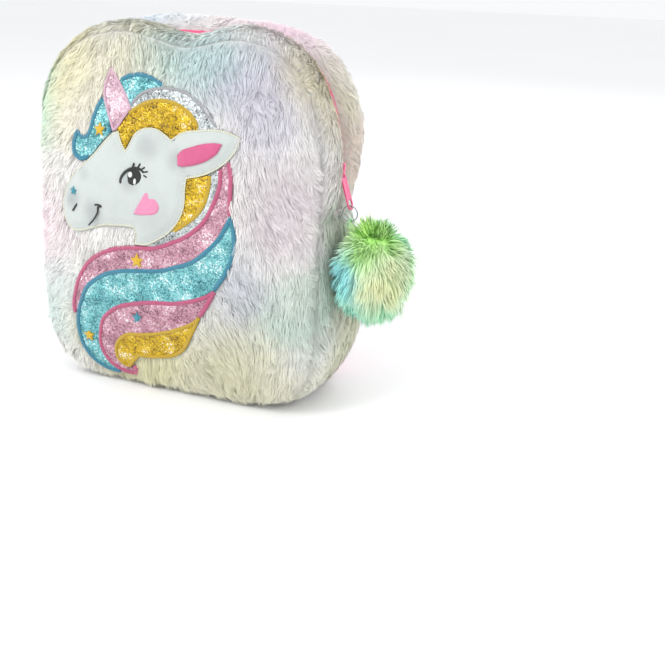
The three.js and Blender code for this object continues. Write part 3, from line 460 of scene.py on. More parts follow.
def woven(name, deep, light, rib=0.0011, across=0.00065, gloss=0.45):
    """Close woven webbing: ribs along it, crossed by fine threads."""
    shader = Shader(name, roughness=gloss, sheen_weight=0.2, specular_ior_level=0.4)
    run, width = shader.cloth()
    ribs = (width * (2 * math.pi / rib)).math("SINE")
    threads = (run * (2 * math.pi / across) + ribs * 1.2).math("SINE")
    height = (ribs * 0.5 + threads * 0.5) * 0.5 + 0.5
    cloud = Number(shader, shader.noise(0.008, 3).outputs[0])
    # The colour is partly painted shade, darker towards deep in the weave's hollows where height is low, and partly
    # the webbing's own cloudy tone.
    shader.set("Base Color", shader.mix((height * 0.55 + cloud * 0.5).clamp(), rgb(deep), rgb(light)))
    shader.set("Roughness", (cloud * 0.25 + (gloss - 0.1)).clamp())
    shader.bump(height, 0.7, 0.0004)
    return shader.material


def satin(name, deep, light, thread=0.00045, turn=0.0):
    """Laid embroidery thread; stitches run along the second way of the piece's map."""
    shader = Shader(name, roughness=0.42, sheen_weight=0.15, specular_ior_level=0.55)
    run, width = shader.cloth()
    if turn:
        run = run * math.cos(turn) + width * math.sin(turn)
    wander = Number(shader, shader.noise(0.003, 2).outputs[0])
    ridge = (run * (2 * math.pi / thread) + wander * 4).math("SINE") * 0.5 + 0.5
    # The colour is partly painted shade, darker towards deep in the furrows between threads where ridge is low, and
    # partly the thread's own uneven tone from wander.
    shader.set("Base Color", shader.mix((ridge * 0.7 + wander * 0.3).clamp(), rgb(deep), rgb(light)))
    shader.bump(ridge, 0.6, 0.0003)
    return shader.material


GLITTER_FLECK = 0.00085


def glitter(name, dark, mid, light):
    """Glitter cloth: each fleck has its own tone and its own tilt, so that some catch the light."""
    shader = Shader(name, roughness=0.3, metallic=0.35, coat_weight=0.12, coat_roughness=0.25)
    place = shader.place()
    cells = shader.node("ShaderNodeTexVoronoi", None, {"Vector": place, "Scale": 1 / GLITTER_FLECK}).outputs["Color"]
    parts = shader.node("ShaderNodeSeparateColor", None, {0: cells})
    tone = Number(shader, parts.outputs[0])
    # Painted light and shade of the cloth's crinkles: broad noise raises and lowers each fleck's tone.
    painted_crinkle_shade = shader.spread(Number(shader, shader.noise(0.011, 3, place).outputs[0]), 0.32, 0.7)
    level = (tone * 0.7 + painted_crinkle_shade * 0.38 - 0.06).clamp()
    stops = [(0.0, rgb(dark)), (0.34, rgb(mid)), (0.78, rgb(light)), (1.0, WHITE)]
    shader.set("Base Color", shader.ramp(level, stops))
    shader.set("Roughness", Number(shader, parts.outputs[1]) * 0.3 + 0.16)
    tilt = shader.vector("MULTIPLY", shader.vector("SUBTRACT", cells, (0.5, 0.5, 0.5)), (0.75, 0.75, 0.75))
    upright = shader.node("ShaderNodeNewGeometry").outputs["Normal"]
    shader.set("Normal", shader.vector("NORMALIZE", shader.vector("ADD", upright, tilt), (0, 0, 0)))
    return shader.material


def felt(name, tint, shade, spots=()):
    """Short white pile, uneven in its grain, with painted shade: greyer in soft broad patches and at a few soft
    spots.
    """
    shader = Shader(name, roughness=0.9, sheen_weight=0.35, sheen_roughness=0.4, specular_ior_level=0.15)
    place = shader.place()
    fine = Number(shader, shader.noise(0.0009, 3, place).outputs[0])
    broad = shader.spread(Number(shader, shader.noise(0.014, 3, place).outputs[0]), 0.35, 0.75)
    # The fine noise is the pile's grain; the broad noise greys it towards shade as painted shade.
    colour = shader.mix(fine * 0.25 + broad * 0.18, rgb(tint), rgb(shade))
    # Painted shade at each spot: the pile greys towards 868b8d, depth saying how strongly.
    for middle, reach, depth in spots:
        colour = shader.mix(shader.near(place, middle, reach) * depth, colour, rgb("868b8d"))
    shader.set("Base Color", colour)
    shader.bump(fine + broad * 0.6, 0.5, 0.0008)
    return shader.material


def moulded(name, tint, wear, gloss=0.3, **constants):
    """Smooth moulded or painted stuff with faint clouds and fine scratches."""
    shader = Shader(name, **constants)
    place = shader.place()
    cloud = Number(shader, shader.noise(0.004, 4, place).outputs[0])
    long_way = shader.node("ShaderNodeMapping", None, {0: place, 3: (1, 0.2, 0.25)}).outputs[0]
    scratch = shader.spread(Number(shader, shader.noise(0.0006, 3, long_way).outputs[0]), 0.55, 0.8)
    shader.set("Base Color", shader.mix((cloud * 0.5 + scratch * 0.3).clamp(), rgb(tint), rgb(wear)))
    shader.set("Roughness", (cloud * 0.2 + scratch * 0.2 + (gloss - 0.1)).clamp())
    shader.bump(cloud + scratch, 0.12, 0.0003)
    return shader.material


# Fur
def vertex_normals(points, quads):
    corner = points[quads]
    flat = np.cross(corner[:, 2] - corner[:, 0], corner[:, 3] - corner[:, 1])
    total = np.zeros_like(points)
    for k in range(4):
        np.add.at(total, quads[:, k], flat)
    return unit(total)


def scatter(points, quads, count, rng, weight=None):
    """Places and normals spread evenly over a skin, thinned where weight is low."""
    normals = vertex_normals(points, quads)
    corner = points[quads]
    area = np.linalg.norm(np.cross(corner[:, 2] - corner[:, 0], corner[:, 3] - corner[:, 1]), axis=1)
    if weight is not None:
        area = area * weight(corner.mean(1))
    pick = np.searchsorted(np.cumsum(area) / area.sum(), rng.random(count)).clip(0, len(area) - 1)
    s, t = rng.random((2, count, 1))

    def blend(v):
        q = v[quads[pick]]
        return (q[:, 0] * (1 - s) + q[:, 1] * s) * (1 - t) + (q[:, 3] * (1 - s) + q[:, 2] * s) * t

    return blend(points), unit(blend(normals))


def blades(name, roots, flow, normals, length, rise, gather, width, levels, tone, material, rng,
           settle_tips=None, shade=None):
    """Flat tapering hairs: each leaves its root outwards, then lies along flow and leans into its tuft.

    They are lit mostly as the soft surface that they make together, whose way out is shade.
    """
    count, steps = len(roots), len(levels)
    twist = rng.normal(0, 0.5, (count, 1))
    side = unit(np.cross(flow, normals))
    side = side * np.cos(twist) + np.cross(flow, side) * np.sin(twist)
    lit = unit((normals if shade is None else shade) * 0.84 + np.cross(side, flow) * 0.16)
    curl = rng.normal(0, 0.09, (count, 1)) * length
    rows = []
    for t in levels:
        p = roots + flow * length * t ** 1.1 + normals * rise * (1 - (1 - t) ** 2) * (1 - 0.3 * t)
        p = p + gather * t ** 1.3 + side * curl * math.sin(t * math.pi * 0.8)
        rows.append(p if settle_tips is None else settle_tips(p, t))
    half = [side * width * 0.5 * (1 - t ** 2.2) ** 0.7 * (0.75 + 0.5 * min(t * 2, 1)) for t in levels[:-1]]
    points = np.stack([q for p, w in zip(rows, half) for q in (p - w, p + w)] + [rows[-1]], 1)
    size = 2 * (steps - 1) + 1
    start = np.arange(count)[:, None] * size
    quads = [start + np.array([2 * k, 2 * k + 1, 2 * k + 3, 2 * k + 2]) for k in range(steps - 2)]
    last = start + np.array([size - 3, size - 2, size - 1])
    tips = np.tile(np.repeat(levels, [2] * (steps - 1) + [1]), count)
    hair = mesh_piece(name, points.reshape(-1, 3), quads + [last], material, tip=tips,
                      tone=np.repeat(tone, size))
    hair.data.normals_split_custom_set_from_vertices(np.repeat(lit, size, axis=0))
    return hair


def fur(name, skin, count, material, comb, seed, length=12.0, rise=4.2, width=0.42, clump=8.0, pull=0.24,
        weight=None, trim=None, ragged=0.3, settled=False, levels=(0, 0.45, 1), seam=None):
    """Fur combed over a skin of (points, quads). comb gives the way that it lies at a place.

    seam says how near a seam a place is, from 0 to 1: the fur is short there and darkened with painted shade.
    """
    rng = np.random.default_rng(seed)
    points, quads = skin
    roots, normals = scatter(points, quads, count, rng, weight)
    area = 0.5 * np.linalg.norm(np.cross(points[quads[:, 2]] - points[quads[:, 0]],
                                         points[quads[:, 3]] - points[quads[:, 1]]), axis=1).sum()
    middles, _ = scatter(points, quads, max(12, int(area / clump ** 2)), rng, weight)
    tree = KDTree(len(middles))
    for i, p in enumerate(middles):
        tree.insert(p, i)
    tree.balance()
    tuft = np.array([tree.find(p)[1] for p in roots])
    spin = rng.normal(0, 0.22, (len(middles), 3))[tuft]
    drift = np.stack([waves(roots, 55, seed + k) for k in range(3)], -1) * 0.4
    flow = comb(roots, normals) + drift + spin + rng.normal(0, 0.1, roots.shape)
    flow = unit(flow - normals * dot(flow, normals))
    grown = rng.uniform(0.75, 1.15, len(middles))[tuft][:, None] * rng.uniform(1 - ragged, 1, (count, 1))
    length, rise = length * grown, rise * grown
    if trim is not None:
        share = trim(roots, flow * length)[:, None]
        length, rise = length * share, rise * np.maximum(share, 0.35)
    close = np.zeros((count, 1)) if seam is None else seam(roots)[:, None]
    length, rise = length * (1 - 0.5 * close), rise * (1 - 0.75 * close)
    gather = (middles[tuft] - roots) * pull
    gather = gather - normals * dot(gather, normals)
    # close * 1.6 is painted shade on the hairs by the seams, added to their random tuft tone.
    tone = rng.random(len(middles))[tuft] * 0.7 + rng.random(count) * 0.3 + close[:, 0] * 1.6

    def above(p, t):
        p = settle(p) if settled else p
        return np.stack([p[:, 0], p[:, 1], np.maximum(p[:, 2], 0.3)], -1)

    return blades(name, roots, flow, normals, length, rise, gather, width, levels, tone, material, rng, above)


def show(piece, body="bag", stands_for=(), slot=None):
    """Fixes a piece to the body that carries it and hides the solids that it stands for."""
    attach(piece, body)
    if stands_for:
        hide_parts(*([stands_for] if isinstance(stands_for, str) else stands_for))
    return piece


# Camera, as the photograph was taken
AZIMUTH, DISTANCE, EYE_HEIGHT, YAW, PITCH, ROLL = (math.radians(31), 0.8, 0.322, math.radians(7.5),
                                                   math.radians(19.75), math.radians(1.5))
FOCAL_SHARE = 1056 / 665


def place_camera():
    camera = bpy.data.objects.new("camera", bpy.data.cameras.new("camera"))
    bpy.context.scene.collection.objects.link(camera)
    camera.data.lens, camera.data.sensor_width = 36 * FOCAL_SHARE, 36
    camera.data.clip_start = 0.01
    heading = AZIMUTH - YAW
    ahead = Vector((-math.sin(heading), math.cos(heading), 0)) * math.cos(PITCH) - Vector((0, 0, math.sin(PITCH)))
    turn = ahead.to_track_quat("-Z", "Y").to_matrix() @ Matrix.Rotation(ROLL, 3, "Z")
    spot = Vector((DISTANCE * math.sin(AZIMUTH), -DISTANCE * math.cos(AZIMUTH), EYE_HEIGHT))
    camera.matrix_world = Matrix.Translation(spot) @ turn.to_4x4()
    bpy.context.scene.camera = camera


# Lamps: name, place and size in metres, watts
LAMPS = (("key", (-0.75, -1.1, 1.25), 0.9, 16), ("fill", (1.3, -0.5, 0.9), 1.2, 5), ("rear", (0.3, 1.4, 1.2), 1.2, 8))
SKY, SKY_STRENGTH, LIT_MIDDLE = (0.97, 0.985, 1, 1), 0.97, Vector((0, 0, 0.13))


def light_scene():
    world = bpy.data.worlds.new("studio")
    world.use_nodes = True
    world.node_tree.nodes["Background"].inputs[0].default_value = SKY
    world.node_tree.nodes["Background"].inputs[1].default_value = SKY_STRENGTH
    bpy.context.scene.world = world
    bpy.context.scene.view_settings.view_transform = "Standard"
    for name, place, size, power in LAMPS:
        lamp = bpy.data.objects.new(name, bpy.data.lights.new(name, "AREA"))
        lamp.data.size, lamp.data.energy = size, power
        lamp.location = place
        lamp.rotation_euler = (LIT_MIDDLE - Vector(place)).to_track_quat("-Z", "Y").to_euler()
        bpy.context.scene.collection.objects.link(lamp)


def floor():
    bpy.ops.object.select_all(action="DESELECT")
    bpy.ops.mesh.primitive_plane_add(size=12, location=(0, 0, 0))
    ground = bpy.context.object
    ground.name = "floor"
    shader = Shader("floor_white", roughness=0.6)
    shader.set("Base Color", shader.mix(shader.noise(0.8, 2).outputs[0], rgb("f6f6f6"), rgb("fbfbfb")))
    ground.data.materials.append(shader.material)


# Picture: outlines as x,z in millimetres from its lower left corner; a star marks a corner
PATCHES = {
    "forelock_front": ("turquoise", 0, 1, "39,213* 35,207 32,202 29,193 26,184 22,180 18,180 14,184* 12,179 11,174 "
                       "12,167 16,163.5 20,163 27,166 35,174 45,184* 43,197 40,207"),
    "forelock_top": ("turquoise", 0, 1, "49,221* 57,225.5 65,228 74,228 82,226 90,221.5* 83,218 71,213 63,206 "
                     "60,201* 54,211"),
    "mane_silver_top": ("silver", 0, 2, "58,200* 63,208 71,215 83,220 95,222 107,219 117,212 126,204 138,190* "
                        "121,188* 115,197 106,204 95,208 84,208 72,204 62,198*"),
    "mane_gold_top": ("gold", 0, 3, "49,188* 54,193 62,201 72,207 84,211 95,211 106,207 115,200 121,191* 105,187 "
                      "95,182* 90,187 84,190 77,190 69,187 63,182 58,172* 53,178 50,184"),
    "horn": ("horn", 0, 9, "43,230* 40,223 38,216 38,209 42,197 47,186* 50,188 55,195 61,203* 56,212 50,221"),
    "mane_silver_low": ("silver", 0, 2, "140,170* 139,157 136,145 129,131 117,118 101,110 85,104.5 72,104* 80,109 "
                        "97,119* 110,126 119,134 126,144 128,153 128,163*"),
    "mane_gold_low": ("gold", 0, 3, "130,163* 129.5,153 127,143 120,133 110,125 96,116* 101,128 105,139 107,149 "
                      "108,162*"),
    "mane_pink_top": ("rose", 0, 4, "143,176* 146,165 146.5,153 146,136* 137,117 127,106 117,98 103,92 88,87 72,85 "
                      "57,83 43,79 31,72 24,65 18,56 13,43* 8,44* 8,52 11,62 16,74 23,85 33,93 43,98 55,102 70,104 "
                      "85,106 100,112 115,120 127,132 134,146 137,157 137,169*"),
    "mane_turquoise": ("turquoise", 0, 5, "146,135* 149,123 149,112 147,102 142,91 133,79* 124,71 111,67 98,63 "
                       "82,62 65,58 52,54 43,48 36,41 33,31 32,22 34,14 39,6 46,2 54,0* 45,-1.5 33,-1 22,4 15,11 "
                       "11,21 10,34 12,46 17,57 23,67 31,74 43,81 57,85 72,87 88,89 103,94 117,100 127,108 137,119"),
    "mane_pink_low": ("rose", 0, 6, "134,79* 129,69 122,57* 113,49 100,43 86,38 69,34 58,32 51,28 47,21 47,14 50,8 "
                      "56,6 63,7* 60,0* 51,-0.5 44,1.5 37,6 32,14 30,22 31,31 34,41 41,49 52,56 65,60 82,64 98,65.5 "
                      "111,69 124,73.5"),
    "mane_gold_tip": ("gold", 0, 7, "122,58* 113,51 100,45 86,40 69,36 57,34 50,29 45.5,22 45,14 48,8 55,6 60,11 "
                      "66,17* 76,18 87,20 98,23 108,31 115,44"),
    "head": ("head", 2, 8, "47,184* 52,186* 55,179 59,173* 62,178 67,186 74,190 84,191 92,187 96,184* 106,190 "
             "118,192.5 131,194 142,193 151,190* 148,181 143,174 137,169 125,162.5 112,159* 111,152 110,140 106,129 "
             "98,119 88,112 78,107 68,106* 69,113 67,118* 55,118 42,117 29,113 18,110 11,110 6,114 3,119 1,127 "
             "2,134 6,145 14,154 24,162 36,173"),
}
SATIN_PIECES = {
    "ear_inner": ("ear", 0.9, "105,174* 109,178 116,181 124,184 133,185.5 139,185* 136,179 128,173 119,169 111,167 "
                  "106,167*"),
    "eye": ("black", 0.7, "68,162 73,161 75.5,157 73.5,151.5 68,149 63.5,150.5 62.5,155 64.5,160"),
    "cheek_heart": ("cheek", 0.9, "69,129* 75,140 78,145 81,146 83,142* 88,142 91,138 90,133 85,130 77,129"),
}
STROKES = {
    "eyelid": ("black", 2.1, "57.8,150.5 58,154 61,158.5 66,161.5 72,162 77,159.5"),
    "mouth": ("black", 1.4, "35,132 38,132.5 41,131.5 38.5,131 38,127 34,120.5 29,115.5"),
    "nostril": ("black", 1.5, "18,130 16,127 14,124"),
}
LASHES = ("66.5,161 68,166", "70.5,161.5 73.5,166", "73.5,161 78,163.8", "75,159.5 81,160.8", "76,157.8 80,156.2")
STARS = {
    "star_forelock": ("star", "forelock_front", 36, 186, 5.2), "star_pink": ("star", "mane_pink_top", 70, 94, 5.8),
    "star_blue": ("blue", "mane_pink_low", 68, 49, 4.8), "star_turquoise": ("star", "mane_turquoise", 20, 26, 5.4),
    "star_nose": ("blue", "head", 14, 139, 3.6),
}
BORDER = {"turquoise": 3.6, "silver": 2.8, "gold": 3.2, "horn": 2.4, "rose": 3.6, "head": 1.5}


def points_of(text):
    """(points, whether each is a corner) of an outline written as x,z pairs."""
    words = text.split()
    return np.array([[float(v) for v in w.strip("*").split(",")] for w in words]), [w[-1] == "*" for w in words]


def outline(text, step):
    """An evenly spaced outline, rounded between its corners."""
    points, corner = points_of(text)
    marks = [i for i, c in enumerate(corner) if c]
    if not marks:
        return spaced(spline(points, True), step, closed=True)
    runs = []
    for a, b in zip(marks, marks[1:] + marks[:1]):
        count = (b - a - 1) % len(points) + 1
        runs.append(spaced(spline(points[[(a + i) % len(points) for i in range(count + 1)]]), step))
    return np.concatenate(runs)


def outward(loop):
    """A closed line's outward direction at each point, and the line turned counterclockwise."""
    x, z = loop.T
    if (x * np.roll(z, -1) - z * np.roll(x, -1)).sum() < 0:
        loop = loop[::-1]
    along = unit(np.roll(loop, -1, 0) - loop)
    along = unit(along + np.roll(along, 1, 0))
    return loop, np.stack([along[:, 1], -along[:, 0]], -1)


def to_loop(points, loop):
    """Each point's distance to a closed line, and whether it lies inside."""
    a, b = loop, np.roll(loop, -1, 0)
    away, odd = np.full(len(points), 1e9), np.zeros(len(points), bool)
    for (ax, az), (bx, bz) in zip(a, b):
        t = np.clip(((points - (ax, az)) @ (bx - ax, bz - az)) / max((bx - ax) ** 2 + (bz - az) ** 2, 1e-12), 0, 1)
        away = np.minimum(away, np.hypot(points[:, 0] - ax - (bx - ax) * t, points[:, 1] - az - (bz - az) * t))
        cut = (az > points[:, 1]) != (bz > points[:, 1])
        odd ^= cut & (points[:, 0] < (bx - ax) * (points[:, 1] - az) / np.where(cut, bz - az, 1) + ax)
    return away, odd


OUTLINES = {name: outline(row[3], 1.1) for name, row in PATCHES.items()}


def picture_field():
    """How deep inside the picture each millimetre of the front lies; negative outside it."""
    x, z = np.meshgrid(np.arange(-8, 165.0), np.arange(-8, 245.0), indexing="ij")
    points, depth = np.stack([x.ravel(), z.ravel()], -1), np.full(x.size, -1e9)
    for loop in OUTLINES.values():
        away, inside = to_loop(points, loop[::3])
        depth = np.maximum(depth, np.where(inside, away, -away))
    return depth.reshape(x.shape)


PICTURE_FIELD = picture_field()


def picture_depth(p):
    """How deep unsettled points of the front lie inside the picture."""
    i = np.clip(np.round(p[:, 0] - PICTURE_X + 8).astype(int), 0, PICTURE_FIELD.shape[0] - 1)
    j = np.clip(np.round(p[:, 2] - PICTURE_Z + 8).astype(int), 0, PICTURE_FIELD.shape[1] - 1)
    return PICTURE_FIELD[i, j]


def filled(loop, step):
    """Points and triangles that fill a closed outline evenly."""
    low, high = loop.min(0), loop.max(0)
    rows = np.arange(low[1], high[1], step * 0.866)
    inner = np.concatenate([np.stack([np.arange(low[0] + (k % 2) * step / 2, high[0], step),
                                      np.full(len(np.arange(low[0] + (k % 2) * step / 2, high[0], step)), z)], -1)
                            for k, z in enumerate(rows)])
    away, inside = to_loop(inner, loop)
    every = np.concatenate([loop, inner[inside & (away > step * 0.55)]])
    edges = [(i, (i + 1) % len(loop)) for i in range(len(loop))]
    points, _, faces, *_ = delaunay_2d_cdt([Vector(p) for p in every], edges, [], 1, 1e-5)
    return np.array([p[:] for p in points]), np.array([f for f in faces if len(f) == 3])


def patch(name, loop, low, height, material, step=1.7, **numbers):
    """A closed pad over an outline, lying on the front cloth; height gives its top at each point."""
    flat, faces = filled(loop, step)
    away, _ = to_loop(flat, loop)
    top = on_bag(flat[:, 0], flat[:, 1], height(flat, away))
    bottom = on_bag(flat[:, 0], flat[:, 1], np.full(len(flat), low))
    pairs = np.concatenate([faces[:, [0, 1]], faces[:, [1, 2]], faces[:, [2, 0]]])
    keys = {tuple(p) for p in pairs}
    open_edges = np.array([p for p in pairs if (p[1], p[0]) not in keys])
    size = len(flat)
    wall = np.stack([open_edges[:, 1], open_edges[:, 0], open_edges[:, 0] + size, open_edges[:, 1] + size], -1)
    piece = mesh_piece(name, np.concatenate([top, bottom]), [faces, faces[:, ::-1] + size, wall], material,
                       uv=np.concatenate([flat, flat]) * MM, **numbers)
    face_outwards(piece)
    return piece


def cord_of_thread(name, runs, width, height, base, material, step=0.42):
    """Raised rows of close stitches along lines of x,z; base gives the height that they lie on."""
    q = np.array([-1, -0.72, -0.36, 0, 0.36, 0.72, 1, 0])
    parts, maps, rng = [], [], np.random.default_rng(len(name))
    for line, closed in runs:
        at = spaced(line, step, closed=closed, count=None if closed else max(2, round(len_of(line) / step)))
        along = (np.roll(at, -1, 0) - np.roll(at, 1, 0)) if closed else np.gradient(at, axis=0)
        along = unit(along)
        across = np.stack([along[:, 1], -along[:, 0]], -1)
        count = len(at)
        to_end = np.minimum(np.arange(count), np.arange(count)[::-1])
        ends = np.ones(count) if closed else np.minimum(1, to_end / 3 + 0.3)
        uneven = 1 + rng.normal(0, 0.05, count)
        ridge = np.where(np.arange(count) % 2, 0.84, 1.0)
        lift = height * ends[:, None] * ridge[:, None] * (1 - np.abs(q) ** 2.2) ** 0.5
        lift[:, -1] = -0.35
        flat = at[:, None] + across[:, None] * (q * width / 2)[None, :, None] * (ends * uneven)[:, None, None]
        under = base(flat.reshape(-1, 2)).reshape(flat.shape[:2])
        points = on_bag(flat[..., 0], flat[..., 1], under + lift).reshape(-1, 3)
        rows, cols = count, len(q)
        faces = [grid_faces(rows, cols, wrap=True)]
        run = np.arange(count) * step
        if closed:
            k = np.arange(cols)
            after, last = np.roll(k, -1), (rows - 1) * cols
            faces.append(np.stack([k + last, after + last, after, k], -1))
        else:
            for row, turn in ((0, 1), (rows - 1, -1)):
                ring = (np.arange(cols) + row * cols)[::turn]
                faces.append(np.stack([np.full(cols - 2, ring[0]), ring[1:-1], ring[2:]], -1))
        parts.append((points, faces))
        maps.append(np.stack([np.repeat(run, cols), np.tile(q * width / 2, rows)], -1) * MM)
    points, faces = joined(parts)
    piece = mesh_piece(name, points, faces, material, uv=np.concatenate(maps))
    face_outwards(piece)
    return piece


def len_of(line):
    return np.linalg.norm(np.diff(line, axis=0), axis=1).sum()


def border_runs(name):
    """The parts of a patch's edge that no later patch's border covers, as (line, closed) runs."""
    order = PATCHES[name][2]
    loop, out = outward(OUTLINES[name])
    loop = loop - out * 0.5
    free = np.ones(len(loop), bool)
    for other, row in PATCHES.items():
        if row[2] > order:
            away, inside = to_loop(loop, OUTLINES[other])
            free &= (away > 2.0) & ~inside
    if free.all():
        return [(loop, True)]
    if not free.any():
        return []
    first = np.flatnonzero(~free)[0]
    loop, free = np.roll(loop, -first, 0), np.roll(free, -first)
    runs, start = [], None
    for i, on in enumerate(free):
        if on and start is None:
            start = i
        if start is not None and (not on or i == len(free) - 1):
            line = loop[max(0, start - 1):i + 1]
            if len_of(line) > 4:
                runs.append((line, False))
            start = None
    return runs


def picture():
    cloth = {
        "turquoise": glitter("glitter_turquoise", "1f5a62", "4f989e", "8cced0"),
        "silver": glitter("glitter_silver", "57585c", "9aa0a2", "cdd4d2"),
        "gold": glitter("glitter_gold", "5a4302", "b08b04", "e0be14"),
        "rose": glitter("glitter_pink", "6b4350", "a87586", "d0a4b2"),
        "horn": glitter("glitter_pale_pink", "8e6c7a", "c49eac", "dfc5cf"),
        # a9b0ae is the colour of the head's painted shade, and its spots are painted shade in the hollows by the
        # nostril, mouth, eye, brow, muzzle, cheek and ear: place, reach and strength.
        "head": felt("head_plush", "c2c8c5", "a9b0ae", [
            (on_bag(13, 133, 3), 12, 0.5), (on_bag(33, 127, 3), 13, 0.45), (on_bag(64, 152, 3), 12, 0.4),
            (on_bag(78, 178, 3), 14, 0.35), (on_bag(24, 153, 3), 8, 0.25), (on_bag(84, 128, 3), 22, 0.2),
            (on_bag(104, 170, 3), 12, 0.35)]),
    }
    slots = {"turquoise": "glitter_turquoise", "silver": "glitter_silver", "gold": "glitter_gold",
             "rose": "glitter_pink", "horn": "glitter_pale_pink", "head": "head_plush"}
    thread = {
        "turquoise": satin("thread_teal", "12566e", "3f9cb8"), "silver": satin("thread_grey", "7b7a80", "bcbcc0"),
        "gold": satin("thread_gold", "9c7a02", "dcb818"), "rose": satin("thread_rose", "9c2f58", "d46a90"),
        "horn": satin("thread_pale", "b98aa0", "e8c6d4"), "head": satin("thread_cream", "a9aa94", "dcdccb", 0.0016),
        "ear": satin("thread_pink", "b83263", "e0699a", turn=0.9),
        "cheek": satin("thread_pale_rose", "cf6c98", "ee9dbf", turn=0.5),
        "black": satin("thread_black", "030304", "17171a"), "star": satin("thread_yellow", "b98a04", "f2cb26"),
        "blue": satin("thread_blue", "126274", "3ea9bd"), "white": satin("thread_white", "d8d8d8", "f4f4f4"),
    }
    tops = {}
    for name, (finish, thick, order, _) in PATCHES.items():
        loop, out = outward(OUTLINES[name])
        top = PATCH_LIFT + PATCH_THICK + thick
        tops[name] = top

        def height(flat, away, finish=finish, top=top):
            edge = smooth(away, 0, 2.5 if finish != "head" else 7)
            if finish == "head":
                ear = np.clip((flat[:, 0] - 98 - (185 - flat[:, 1]) * 0.62) / 1.6, -3, 3)
                seam = 0.9 * np.exp(-ear ** 2) * (flat[:, 1] > 158)
                return top - 1.6 + edge * 2.2 + smooth(away, 4, 22) * 1.4 - seam
            pucker = waves(vec(flat[:, 0], flat[:, 1], 0), 9, order, 20) * 0.6 + waves(
                vec(flat[:, 0], flat[:, 1], 0), 4.5, order + 40, 20) * 0.3
            return top - 0.5 + edge * 0.35 + pucker * smooth(away, 1.8, 6)

        piece = patch(f"{name}_patch", loop - out * PATCH_INSET, PATCH_LIFT, height, cloth[finish])
        show(piece, stands_for=name, slot=slots[finish])
        runs = border_runs(name)
        if runs:
            rim = top - (0.5 if finish != "head" else 1.5)
            edge = cord_of_thread(f"{name}_stitching", runs, BORDER[finish], 1.3 if finish != "head" else 0.4,
                                  lambda flat, rim=rim: np.full(len(flat), rim - 0.1), thread[finish])
            show(edge)
    face = lambda flat: np.full(len(flat), tops["head"] + 1.75)

    for name, (finish, dome, text) in SATIN_PIECES.items():
        loop, out = outward(outline(text, 0.9))
        lift = lambda flat, away, dome=dome: face(flat) - 0.2 + dome * smooth(away, -0.4, 1.8)
        piece = patch(f"{name}_satin", loop, tops["head"], lift, thread[finish], 1.2)
        show(piece, stands_for=name, slot="thread_black" if finish == "black" else "thread_pink")
    for name, (finish, width, text) in STROKES.items():
        line = spline(points_of(text)[0], False, 8)
        stroke = cord_of_thread(f"{name}_thread", [(line, False)], width, 0.7, face, thread[finish], 0.4)
        show(stroke, stands_for=name, slot="thread_black")
    lashes = [(spline(points_of(text)[0], False, 4), False) for text in LASHES]
    show(cord_of_thread("eye_lashes", lashes, 1.5, 0.7, face, thread["black"], 0.4))
    glints = []
    for x, z, wide, tall in ((65.4, 157.3, 1.6, 2.0), (69.2, 152.6, 1.1, 2.1)):
        turn = np.linspace(0, 2 * math.pi, 18, endpoint=False)
        loop = np.stack([x + wide * np.cos(turn), z + tall * np.sin(turn)], -1)
        lift = lambda flat, away: face(flat) + 0.75 + 0.25 * smooth(away, 0, 0.8)
        glints.append(patch(f"eye_glint_{len(glints) + 1}", loop, tops["head"] + 2, lift, thread["white"], 0.6))
        show(glints[-1])
    for name, (finish, on, x, z, radius) in STARS.items():
        turn = math.pi / 2 + np.arange(10) * math.pi / 5
        reach = np.where(np.arange(10) % 2, radius * 0.47, radius)
        loop = spaced(np.stack([x + reach * np.cos(turn), z + reach * np.sin(turn)], -1), 0.7, closed=True)
        base = tops[on] + (1.6 if on == "head" else 0.35)
        lift = lambda flat, away, base=base: base + 0.9 * smooth(away, -0.3, 1.2)
        piece = patch(f"{name}_satin", outward(loop)[0], tops[on] - 0.2, lift, thread[finish], 0.9)
        show(piece, stands_for=name, slot="thread_yellow" if finish == "star" else "thread_blue")


# Furry panels
def square_share(a, b):
    """The share of the seam that a point on the unit square's edge stands for."""
    edge = 1 - 1e-9
    return np.select([(b <= -edge) & (a >= 0), a >= edge, b >= edge, a <= -edge], [a / 8, (2 + b) / 8, (4 - a) / 8,
                                                                                 (6 - b) / 8], (8 + a) / 8)


PANEL_STEPS = 56


def panel(side, crown):
    """The outer and inner grids of a panel, before it settles."""
    a, b = np.meshgrid(*[np.linspace(-1, 1, PANEL_STEPS + 1)] * 2, indexing="ij")
    ring = np.maximum(np.abs(a), np.abs(b))
    share = square_share(a / np.maximum(ring, 1e-9), b / np.maximum(ring, 1e-9))
    u = (1 - (1 - ring) ** 1.35)[..., None]
    centre = np.array([0, MID_Z])
    flat = centre + (seam_at(share) - centre) * u
    rim = centre + (seam_at(share) - seam_normal(share) * WALL - centre) * u
    outer = vec(flat[..., 0], panel_depth(flat[..., 0], flat[..., 1], side, crown), flat[..., 1])
    return outer, vec(rim[..., 0], side * (HALF_DEPTH + (crown - WALL) * bulge(u[..., 0])), rim[..., 1])


